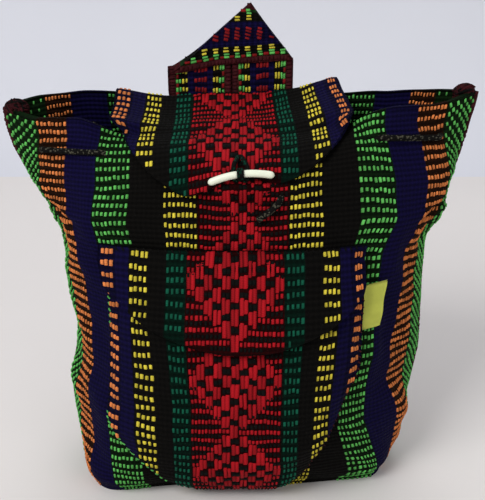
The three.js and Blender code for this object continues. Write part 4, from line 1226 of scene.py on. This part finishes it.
def tube(name, path, radius, sides, material, lump=0.0):
    """A round cord along a path in mm. radius is one number or one for each point, and lump is the height of
    the braid's lumps as a share of it."""
    path = np.asarray(path, float)
    count = len(path)
    tangent = np.gradient(path, axis=0)
    tangent /= np.linalg.norm(tangent, axis=1, keepdims=True).clip(1e-9)
    side = np.cross(tangent[0], [0.31, 0.17, 0.94])
    frames = []
    for t in tangent:
        side = side - t * side.dot(t)
        side /= np.linalg.norm(side)
        frames.append((side, np.cross(t, side)))
    frames = np.array(frames)
    angle = np.arange(sides) / sides * 2 * math.pi
    along = lengths_along(path)
    r = np.broadcast_to(radius, (count,))[:, None] * np.ones((1, sides))
    braid = along[:, None] * 1.1
    r = r * (1 + lump * np.sin(2 * angle + braid) * np.sin(2 * angle - braid))
    around = np.cos(angle)[None, :, None] * frames[:, :1] + np.sin(angle)[None, :, None] * frames[:, 1:]
    tips = [path[0] - tangent[0] * np.min(r[0]) * 0.5, path[-1] + tangent[-1] * np.min(r[-1]) * 0.5]
    points = np.vstack([(path[:, None] + r[..., None] * around).reshape(-1, 3), *tips])
    start, end, last = len(points) - 2, len(points) - 1, (count - 1) * sides
    caps = [[start, (k + 1) % sides, k] for k in range(sides)]
    caps += [[end, last + k, last + (k + 1) % sides] for k in range(sides)]
    i, k = np.meshgrid(np.arange(count - 1), np.arange(sides), indexing="ij")
    u = np.stack([k, k + 1, k + 1, k], -1) * (angle[1] * float(np.max(radius)))
    v = np.stack([along[i], along[i], along[i + 1], along[i + 1]], -1)
    cap_map = [[0.0, 0.0], [0.4, 0.2], [0.2, 0.4]] * len(caps)
    maps = [("Cord", np.vstack([np.stack([u, v], -1).reshape(-1, 2), cap_map]))]
    return make_object(name, points, tube_faces(count, sides).tolist() + caps, [material], None, maps)


class BACKPACK_OT_bag_cloth(bpy.types.Operator):
    """Build the bag: one striped cloth folded at the bottom and sewn up both sides"""

    bl_idname = "backpack.bag_cloth"
    bl_label = "Bag cloth"

    def execute(self, context):
        ground = ground_material("handwoven_cotton_bag_ground", BAG_GROUND, BAG_HALF, *BAG_RIBS)
        forms = {side: bag_form(side) for side in (FRONT, BACK)}
        inner = {side: bag_form(side, True) for side in (FRONT, BACK)}
        s = np.linspace(-BAG_HALF, BAG_HALF, BAG_COLUMNS)
        heights = np.concatenate([np.linspace(RIM, BASE_TURN_FROM, BAG_ROWS), BASE_TURN])
        outside, inside, v = [], [], []
        for z in heights:
            outside.append(forms[FRONT].at(s, z))
            inside.append(inner[FRONT].at(s, max(z, CLOTH)))
            v.append(RIM - z)
        for k in range(1, BASE_ROWS):
            share = k / BASE_ROWS
            outside.append(forms[FRONT].at(s, 0) * (1 - share) + forms[BACK].at(s, 0) * share)
            inside.append(inner[FRONT].at(s, CLOTH) * (1 - share) + inner[BACK].at(s, CLOTH) * share)
            v.append(RIM + BASE_DEPTH * share)
        for z in heights[::-1]:
            outside.append(forms[BACK].at(s, z))
            inside.append(inner[BACK].at(s, max(z, CLOTH)))
            v.append(RIM + BASE_DEPTH + z)
        places = np.stack(np.meshgrid(s, v, indexing="ij"), -1)
        cloth = cloth_shell("bag_cloth", np.stack(outside, 1), np.stack(inside, 1), places, [ground], 0.8)
        put_on_bag(cloth, "bag_cloth", "bag_body")
        yarns = []
        for side, word in SIDES:
            yarns.append(self.yarns(forms[side], "bag_yarns_" + word, side))
            yarns.append(self.inside_yarns(inner[side], "bag_inside_yarns_" + word, side))
        strands = yarn_materials(("maroon", "maroon", "black"))
        for hand, word in HANDS:
            front, back = (forms[side].at(hand * FRAYED_AT, RIM - 1) for side in (FRONT, BACK))
            name, tip = "frayed_corner_" + word, (front + back) / 2
            yarns.append(frayed(name, tip, FRAYED_REACH, FRAYED_STRANDS, SEED + hand, strands))
        for piece in yarns:
            put_on_bag(piece, "bag_cloth")
        return {"FINISHED"}

    def dashes(self, floats, z, half_width, half_length):
        """One row of the dashed stripes, on both sides of the middle."""
        for dye, (low, high) in BAG_DASHES.items():
            count = round((high - low) / in_mm("dash_pitch"))
            for hand in (-1, 1):
                for k in range(count):
                    s = hand * (low + (k + 0.5) * (high - low) / count)
                    floats.add(dye, s, z, half_width, half_length)

    def yarns(self, form, name, side):
        """Floats of one panel: the middle band, the dashed stripes, the twilled edge and the selvedge."""
        floats = Floats(BAG_DYES, SEED + side)
        pitch, row_pitch = in_mm("dash_pitch"), in_mm("row_pitch")
        low, high = BAG_EDGE
        for row in range(int((RIM - 4) / row_pitch) + 1):
            z = RIM - 3.2 - row * row_pitch
            red_band(floats, row + BRICK_REACH, z, row_pitch, BAG_BRICK, pitch,
                     lambda s, v: abs(s) < BAG_RED_KEPT)
            self.dashes(floats, z, BAG_DASH_WIDE * pitch, BAG_DASH_LONG * row_pitch)
            for half_row in (0, 1):
                at = z - half_row * row_pitch / 2
                for k in range(4):
                    away = low + TWILL_START + k * TWILL_PITCH + half_row * TWILL_PITCH / 2
                    if away < high - 0.5:
                        for hand in (-1, 1):
                            floats.add("green", hand * away, at, 1.1, 1.8, hand * 0.3)
        for z in np.arange(3, RIM - 1, SELVEDGE_PITCH):
            for hand in (-1, 1):
                floats.add("maroon", hand * (BAG_HALF - SELVEDGE_IN), z, 2.5, 1.5, hand * 0.25)
        return floats.build(name, form, in_mm("yarn_rise"), 0.1)

    def inside_yarns(self, form, name, side):
        """The stripes show weaker on the wrong side, below the rim."""
        floats = Floats(BAG_DYES, SEED + 10 + side)
        for row in range(INSIDE_ROWS):
            z = RIM - 3 - row * in_mm("row_pitch")
            self.dashes(floats, z, *INSIDE_DASH)
            for away in INSIDE_EDGE:
                for hand in (-1, 1):
                    floats.add("green", hand * (away + TWILL_PITCH / 2 * (row % 2)), z, *INSIDE_DASH)
        return floats.build(name, form, 1.0, 0.0)


def accent_floats(keep, rows, start, phase):
    """Bricks and dashes of a piece of accent cloth. keep says if a place is on the piece."""
    floats = Floats(ACCENT_DYES, SEED + phase)
    pitch, row_pitch = in_mm("accent_dash_pitch"), in_mm("accent_row_pitch")
    for row in range(rows):
        v = start + row * row_pitch
        red_band(floats, row + phase, v, row_pitch, ACCENT_BRICK, ACCENT_RED_DASH, keep)
        for dye, middle, count, full in ACCENT_DASHES:
            for hand in (-1, 1):
                step = RIGHT_ORANGE_PINCH * pitch if dye == "orange" and hand > 0 else pitch
                for k in range(count):
                    s = hand * (middle + (k - (count - 1) / 2) * step)
                    if keep(s, v):
                        floats.add(dye, s, v, full * step, ACCENT_DASH_LONG * row_pitch)
    return floats


def accent_piece(name, solid, form, low, high, margins, mesh_rows, rows, start, phase):
    """A piece of accent cloth and its yarns. low and high give the ends of the cloth's line at some s, and
    margins how far the yarns keep from them. start and phase place the pattern's first row."""
    s = np.linspace(-ACCENT_HALF, ACCENT_HALF, ACCENT_LINES)
    ground = ground_material("handwoven_cotton_accent_ground", ACCENT_GROUND, ACCENT_HALF, *ACCENT_RIBS)
    places = trimmed_grid(s, low(s), high(s), mesh_rows)
    cloth = put_on_bag(sheet_from(form, name + "_cloth", places, [ground]), "accent_cloth", solid)

    def keep(a, v):
        return low(a) + margins[0] < v < high(a) - margins[1] and abs(a) < ACCENT_HALF - 1.5

    floats = accent_floats(keep, rows, start, phase)
    yarns = floats.build(name + "_yarns", form, in_mm("yarn_rise") + ACCENT_EXTRA_RISE, FLOAT_LIFT)
    return cloth, put_on_bag(yarns, "accent_cloth")


class BACKPACK_OT_main_flap(bpy.types.Operator):
    """Build the tongue-shaped flap over the mouth"""

    bl_idname = "backpack.main_flap"
    bl_label = "Main flap"

    def execute(self, context):
        form, lines, ends = flap_form()
        rows = round(float(ends.max()) / in_mm("accent_row_pitch")) + 1
        cloth, yarns = accent_piece("flap", "main_flap", form, np.zeros_like,
                                    lambda a: np.interp(a, lines, ends), (3, 2.4), 84, rows, 5.0, 7)
        edge = ACCENT_HALF - 2
        route = [(-edge, 2.4), (edge, 2.4)]
        seam = stitches("flap_stitches", form, route, lambda s, v: "maroon", "accent_cloth")
        return {"FINISHED"}


class BACKPACK_OT_front_pocket(bpy.types.Operator):
    """Build the front pocket and its flap"""

    bl_idname = "backpack.front_pocket"
    bl_label = "Front pocket and its flap"

    def execute(self, context):
        form = pocket_form()
        pocket, yarns = accent_piece("pocket", "front_pocket", form, pocket_low,
                                     lambda a: np.full(np.shape(a), POCKET_TOP), (3, 2), 80, 26, 11.0, 6)
        edge = np.linspace(-ACCENT_HALF + 1.4, ACCENT_HALF - 1.4, 80)
        route = [(edge[0], POCKET_TOP - 2), *zip(edge, pocket_low(edge) + 1.4), (edge[-1], POCKET_TOP - 2)]
        seam = stitches("pocket_stitches", form, route, self.edge_dye, "accent_cloth")

        form, lines, ends = pocket_flap_form()
        flap, yarns = accent_piece("pocket_flap", "pocket_flap", form, np.zeros_like,
                                   lambda a: np.interp(a, lines, ends), (2, 3), 40, 9, 5.0, 8)
        route = [(edge[0], 1.6), (edge[-1], 1.6)]
        seam = stitches("pocket_flap_stitches", form, route, lambda s, v: "black", "accent_cloth")
        return {"FINISHED"}

    def edge_dye(self, s, v):
        """Thread of the pocket's seam: green at the top and bottom of the left edge, maroon at the right."""
        if s > SEAM_DYE_FROM:
            return "maroon"
        low, high = GREEN_HIDDEN
        return "green" if s < -SEAM_DYE_FROM and not low < v < high else "black"


class BACKPACK_OT_straps(bpy.types.Operator):
    """Build the webbing straps and their folded point"""

    bl_idname = "backpack.straps"
    bl_label = "Shoulder straps"

    def rows(self, floats, v, keep, slant=0.0):
        """One repeat of the webbing's pattern across its width."""
        pitch = in_mm("strap_row_pitch")
        for k in range(4):
            s = (k - 1.5) * STRAP_RED_PITCH
            if keep(s, v):
                floats.add("webbing", s, v, 1.3, 2.5, slant)
        for hand in (-1, 1):
            for k, dye in enumerate(("yellow", "yellow", "green")):
                s = hand * (STRAP_SIDE_FROM + STRAP_SIDE_PITCH * k)
                if keep(s, v):
                    floats.add(dye, s, v, 1.05, 2.4)
            for half, dye in enumerate(("green", "webbing")):
                at = v + half * pitch / 2
                if keep(hand * STRAP_LADDER, at):
                    floats.add(dye, hand * STRAP_LADDER, at, 1.4, 2.2)
            for k in range(3):
                at = v + (k - 1) * pitch / 3
                if keep(hand * STRAP_EDGE_KEPT, at):
                    floats.add("maroon", hand * STRAP_EDGE, at, 2.9, 1.6)

    def execute(self, context):
        ground = ground_material("handwoven_cotton_webbing", STRAP_GROUND, STRAP_HALF, *STRAP_RIBS)
        rise, pitch = in_mm("yarn_rise"), in_mm("strap_row_pitch")
        for hand, word in HANDS:
            form, total = strap_form(hand)
            s = np.linspace(-STRAP_HALF, STRAP_HALF, 21)
            places = trimmed_grid(s, np.zeros(len(s)), np.full(len(s), total), 170)
            leg = sheet_from(form, "strap_" + word, places, [ground])
            for face, way in (("outer", 1), ("inner", -1)):
                floats = Floats(STRAP_DYES, SEED + 20 + hand)
                for row in range(int(total / pitch)):
                    self.rows(floats, 4 + row * pitch, lambda a, v: v < total - 3)
                name = f"strap_{word}_{face}_yarns"
                made = floats.build(name, form, way * rise, way * FLOAT_LIFT, way * FLOAT_SINK)
                put_on_bag(made, "webbing")
            put_on_bag(leg, "webbing", "shoulder_strap")
            edge, foot = STRAP_HALF - 2, total - 2.5
            top = foot - STRAP_SEWN_BOX
            route = [(-edge, foot), (edge, foot), (edge, top), (-edge, top), (-edge, foot)]
            stitches(f"strap_{word}_stitches", form, route, lambda s, v: "maroon", "webbing")
        self.point(ground, rise, pitch)
        return {"FINISHED"}

    def slopes(self, s):
        """Where the folded point's left and right slopes are at some way up the webbing."""
        half, up = STRAP_POINT_HALF, (s + STRAP_HALF) / (2 * STRAP_HALF)
        return -half + (half + STRAP_POINT_LEAN) * up**0.84, half - (half - STRAP_POINT_LEAN) * up

    def point(self, ground, rise, pitch):
        """The band folded over itself to a point, as two layers."""
        front, back = strap_point_form(True), strap_point_form(False)
        s = np.linspace(-STRAP_HALF, STRAP_HALF, 26)
        low, high = self.slopes(s)
        places = trimmed_grid(s, low, np.maximum(high, low + 0.6), 40)
        a, b = places[..., 0], places[..., 1]
        outer, inner = front.at(a, b, SHEET / 2), back.at(a, b, SHEET / 2)
        put_on_bag(cloth_shell("strap_point", outer, inner, places, [ground], 1.0), "webbing")

        def keep(at, v):
            low, high = self.slopes(at)
            return low + 2 < v < high - 2

        for word, form in (("front", front), ("back", back)):
            floats = Floats(STRAP_DYES, SEED + 30)
            for row in range(12):
                self.rows(floats, -STRAP_POINT_HALF + 2 + row * pitch, keep, 0.35)
            put_on_bag(floats.build(f"strap_point_{word}_yarns", form, rise, FLOAT_LIFT), "webbing")


def drawstring_route():
    """The drawstring's way round the mouth, from its tail at the front to its other end under the flap."""
    out_lift = STRIPE_RISE + LAYER_GAP + CORD_RADIUS
    depth, seam_depth = CLOTH + 2 * LAYER_GAP + CORD_RADIUS, SEAM_DEPTH + 3 * CORD_RADIUS
    walls = {side: settled_wall(side) for side in (FRONT, BACK)}

    def within(s, z, side):
        near_seam = smooth(abs(s), *SEAM_BLEND)
        inner = slump(inside_wall(np.array(s), np.array(z), side, depth, seam_depth))
        return walls[side].at(s, z, -depth) * (1 - near_seam) + inner * near_seam

    def height(s, side):
        if side == BACK:
            return RIM - CORD_DROP - CORD_SAG_BACK * (1 - smooth(abs(s), *CORD_SAG_BACK_END))
        sag = CORD_SAG_RIGHT * smooth(s, *CORD_SAG_RIGHT_FROM) if s > 0 else CORD_SAG_LEFT
        return RIM - CORD_DROP - sag

    def laced(s, side):
        low, high = CORD_FRONT_OUT if side == FRONT else CORD_BACK_OUT
        away, half = abs(s), CORD_PASS / 2
        out = smooth(away, low - half, low + half) * (1 - smooth(away, high - half, high + half))
        z = height(s, side)
        return within(s, z, side) * (1 - out) + walls[side].at(s, z, out_lift) * out

    tail_s, tail_drop = CORD_TAIL_HOLE
    route = [walls[FRONT].at(s, RIM - drop, out_lift + CORD_TAIL_LIFT) for s, drop in reversed(CORD_TAIL)]
    route.append(walls[FRONT].at(tail_s, RIM - tail_drop, CORD_RADIUS / 2))
    route.append(within(tail_s + CORD_STEP / 2, RIM - tail_drop + CORD_STEP, FRONT))
    start = tail_s + 2 * CORD_STEP
    spans = ((start, BAG_HALF, FRONT), (BAG_HALF, -BAG_HALF, BACK), (-BAG_HALF, -start, FRONT))
    for low, high, side in spans:
        count = round(abs(high - low) / (CORD_PASS / 2))
        route += [laced(low + (high - low) * i / count, side) for i in range(count)]
    return np.array(route)


class BACKPACK_OT_drawstring(bpy.types.Operator):
    """Build the speckled drawstring laced through the cloth below the rim"""

    bl_idname = "backpack.drawstring"
    bl_label = "Drawstring"

    def execute(self, context):
        d = dyes()
        path, total = even_path(drawstring_route(), 1.3)
        path = path[::-1]
        braid = cord_material("braided_cotton_cord", tuple(d.cord), tuple(d.speck), 0.22)
        cord = tube("drawstring_cord", path, CORD_RADIUS + CORD_PLUMP, 12, braid, 0.14)
        put_on_bag(cord, "cord", "drawstring")
        return {"FINISHED"}


class BACKPACK_OT_toggle(bpy.types.Operator):
    """Build the toggle with its tie and loop"""

    bl_idname = "backpack.toggle"
    bl_label = "Toggle, tie and loop"

    def execute(self, context):
        d = dyes()
        centre = settled_wall(FRONT).at(TOGGLE_OFFSET, TOGGLE_HEIGHT)
        centre[1] -= STRIPE_RISE + LAYER_GAP + CLOTH + TOGGLE_STAND_OFF
        nylon = toggle_material("moulded_nylon_toggle", tuple(d.toggle))
        dark = cord_material("twisted_cotton_cord", tuple(d.cord), darker(d.dark_green, 0.5), 0.3)
        self.rod(centre, nylon)
        self.tie(centre, dark)
        self.loop(centre, dark)
        return {"FINISHED"}

    def rod(self, centre, nylon):
        """The arched rod, tilted, with a waist and rounded ends."""
        half = TOGGLE_LENGTH / 2
        at = np.linspace(-half, half, 61)
        tilt = math.radians(TOGGLE_TILT)
        rod = np.stack([at, np.zeros(len(at)), -TOGGLE_ARCH * (at / half) ** 2], 1)
        cos, sin = math.cos(tilt), math.sin(tilt)
        turn = np.array([[cos, 0, sin], [0, 1, 0], [-sin, 0, cos]])
        end = np.maximum(0, np.abs(at) - half + TOGGLE_RADIUS) / TOGGLE_RADIUS
        radius = TOGGLE_RADIUS * np.sqrt(1 - 0.7 * end**2)
        radius += (TOGGLE_WAIST - TOGGLE_RADIUS) * np.exp(-((at / (2 * TIE_RADIUS)) ** 2))
        put_on_bag(tube("toggle_rod", rod @ turn + centre, radius, 20, nylon), "toggle", "toggle")

    def tie(self, centre, dark):
        """The cord wound round the waist, and its stem to the bag cloth."""
        ring_radius = TOGGLE_WAIST + 0.3 + TIE_RADIUS
        turn = np.linspace(0, 2 * TIE_TURNS * math.pi, 85)
        sideways = np.linspace(-1, 1, len(turn)) * 1.9 * TIE_RADIUS
        wound = centre + np.stack([sideways, ring_radius * np.cos(turn), ring_radius * np.sin(turn)], 1)
        put_on_bag(tube("tie_ring", wound, TIE_RADIUS, 10, dark), "cord", "toggle_tie")
        behind = centre + np.array([0, ring_radius, 0])
        anchor = WALL[FRONT].at(TOGGLE_OFFSET, TIE_HEIGHT, STRIPE_RISE + TIE_RADIUS)
        stem, _ = even_path([behind, (behind + anchor) / 2, anchor], 0.8)
        put_on_bag(tube("tie_stem", stem, TIE_RADIUS, 10, dark), "cord")

    def loop(self, centre, dark):
        """The loop from the flap's end, caught behind the rod on both sides of the tie."""
        flap, lines, ends = flap_form()
        at = TOGGLE_OFFSET - SEWN_OFFSET
        end = float(np.interp(at, lines, ends))
        behind_rod = TOGGLE_RADIUS + TIE_RADIUS + 0.6
        on_flap = ((1.6, LOOP_HEIGHT, 0.3), (3.2, LOOP_HEIGHT - 3, 0.6), (5.0, 9.0, 1.0))
        on_rod = ((1, 1.5), (1, -3.0), (0.5, -7.5))
        sides = []
        for hand in (-1, 1):
            strand = [flap.at(at + hand * a, end - up, CLOTH / 2 + STRIPE_RISE + TIE_RADIUS + off)
                      for a, up, off in on_flap]
            strand += [centre + np.array([hand * LOOP_SPREAD * out, behind_rod, up]) for out, up in on_rod]
            sides.append(strand)
        loop, _ = even_path(sides[0][::-1] + sides[1], 1.0)
        put_on_bag(tube("loop_cord", loop, 1.5 * TIE_RADIUS, 10, dark), "cord", "toggle_loop")


class BACKPACK_OT_label(bpy.types.Operator):
    """Build the bare label in the pocket's side seam"""

    bl_idname = "backpack.label"
    bl_label = "Side label"

    def execute(self, context):
        edge = ACCENT_HALF + SEWN_OFFSET + 0.3
        s, v = np.linspace(0, LABEL_WIDTH, 9), np.linspace(0, LABEL_HEIGHT, 17)
        ss, vv = np.meshgrid(s, v, indexing="ij")
        height = POCKET_TOP - LABEL_DROP + ss / LABEL_WIDTH * LABEL_SLANT - LABEL_HEIGHT + vv
        lift = STRIPE_RISE + LAYER_GAP + LABEL_THICK / 2 + LABEL_STAND_OFF * smooth(ss, 2, LABEL_WIDTH)
        lift += LABEL_WAVE * np.sin(vv / LABEL_WAVE_SIZE) ** 2
        out = edge + LABEL_FORESHORTENED * ss + LABEL_LEAN * (vv / LABEL_HEIGHT - 0.5)
        form = ClothForm(s, v, slump(WALL[FRONT].at(out, height, lift)), 1)
        tape = label_material("woven_cotton_tape", tuple(dyes().label))
        places = trimmed_grid(s, np.zeros(len(s)), np.full(len(s), LABEL_HEIGHT), len(v))
        label = sheet_from(form, "label_tape", places, [tape], LABEL_THICK)
        put_on_bag(label, "label", "side_label")
        return {"FINISHED"}


class BACKPACK_OT_stage(bpy.types.Operator):
    """Set up the pale floor, the backdrop, the soft lights and the camera"""

    bl_idname = "backpack.stage"
    bl_label = "Stage, lights and camera"

    def execute(self, context):
        scene = context.scene
        self.boards()
        world = bpy.data.worlds.new("studio")
        scene.world = world
        world.use_nodes = True
        background = world.node_tree.nodes["Background"]
        background.inputs["Color"].default_value = linear(SKY)
        background.inputs["Strength"].default_value = SKY_STRENGTH
        for name, place, size, power in LAMPS:
            lamp = bpy.data.lights.new(name, "AREA")
            lamp.size, lamp.energy = size, power
            obj = bpy.data.objects.new(name, lamp)
            scene.collection.objects.link(obj)
            obj.location = place
            x, y, z = np.array(LAMP_AIM) - np.array(place)
            obj.rotation_euler = (math.atan2(math.hypot(x, y), -z), 0, math.atan2(y, x) - math.pi / 2)
        camera = bpy.data.cameras.new("camera")
        camera.lens, camera.sensor_width = CAMERA_LENS, CAMERA_SENSOR
        obj = bpy.data.objects.new("camera", camera)
        obj.location = CAMERA_PLACE
        obj.rotation_euler = (math.radians(CAMERA_TILT), 0, 0)
        scene.collection.objects.link(obj)
        scene.camera = obj
        scene.view_settings.view_transform = "Standard"
        return {"FINISHED"}

    def boards(self):
        """The floor, which bends up into the wall behind the bag."""
        d = dyes()
        bend = np.linspace(0, math.pi / 2, 9)
        wall = STAGE_BEND_FROM + STAGE_BEND
        y = np.concatenate([[STAGE_FRONT, -600, 300], STAGE_BEND_FROM + STAGE_BEND * np.sin(bend), [wall]])
        z = np.concatenate([[0, 0, 0], STAGE_BEND * (1 - np.cos(bend)), [STAGE_TOP]])
        x = np.linspace(-STAGE_HALF, STAGE_HALF, 9)
        points = np.stack([np.repeat(x, len(y)), np.tile(y, len(x)), np.tile(z, len(x)) - STAGE_DROP], 1)
        boards = [stage_material("matt_floor_board", tuple(d.floor)),
                  stage_material("matt_wall_board", tuple(d.backdrop))]
        upright = np.tile(np.arange(len(y) - 1) > 2, len(x) - 1)
        make_object("floor", points, grid_faces(len(x), len(y)), boards, upright)


PIECES = (BACKPACK_OT_stage, BACKPACK_OT_drawstring, BACKPACK_OT_bag_cloth, BACKPACK_OT_main_flap,
          BACKPACK_OT_front_pocket, BACKPACK_OT_straps, BACKPACK_OT_toggle, BACKPACK_OT_label)


class BACKPACK_PT_panel(bpy.types.Panel):
    """Lists the backpack's pieces, sizes and dyes"""

    bl_idname = "BACKPACK_PT_panel"
    bl_label = "Handwoven backpack"
    bl_space_type = "VIEW_3D"
    bl_region_type = "UI"
    bl_category = "Backpack"

    def draw(self, context):
        for piece in PIECES:
            self.layout.operator(piece.bl_idname)
        for group in (context.scene.backpack_sizes, context.scene.backpack_colours):
            for key in group.__annotations__:
                self.layout.prop(group, key)


CLASSES = (BackpackColours, BackpackSizes, *PIECES, BACKPACK_PT_panel)


def register():
    for cls in CLASSES:
        bpy.utils.register_class(cls)
    bpy.types.Scene.backpack_colours = bpy.props.PointerProperty(type=BackpackColours)
    bpy.types.Scene.backpack_sizes = bpy.props.PointerProperty(type=BackpackSizes)


def unregister():
    del bpy.types.Scene.backpack_colours
    del bpy.types.Scene.backpack_sizes
    for cls in reversed(CLASSES):
        bpy.utils.unregister_class(cls)


def main():
    register()
    for piece in PIECES:
        group, name = piece.bl_idname.split(".")
        getattr(getattr(bpy.ops, group), name)()


if __name__ == "__main__":
    main()
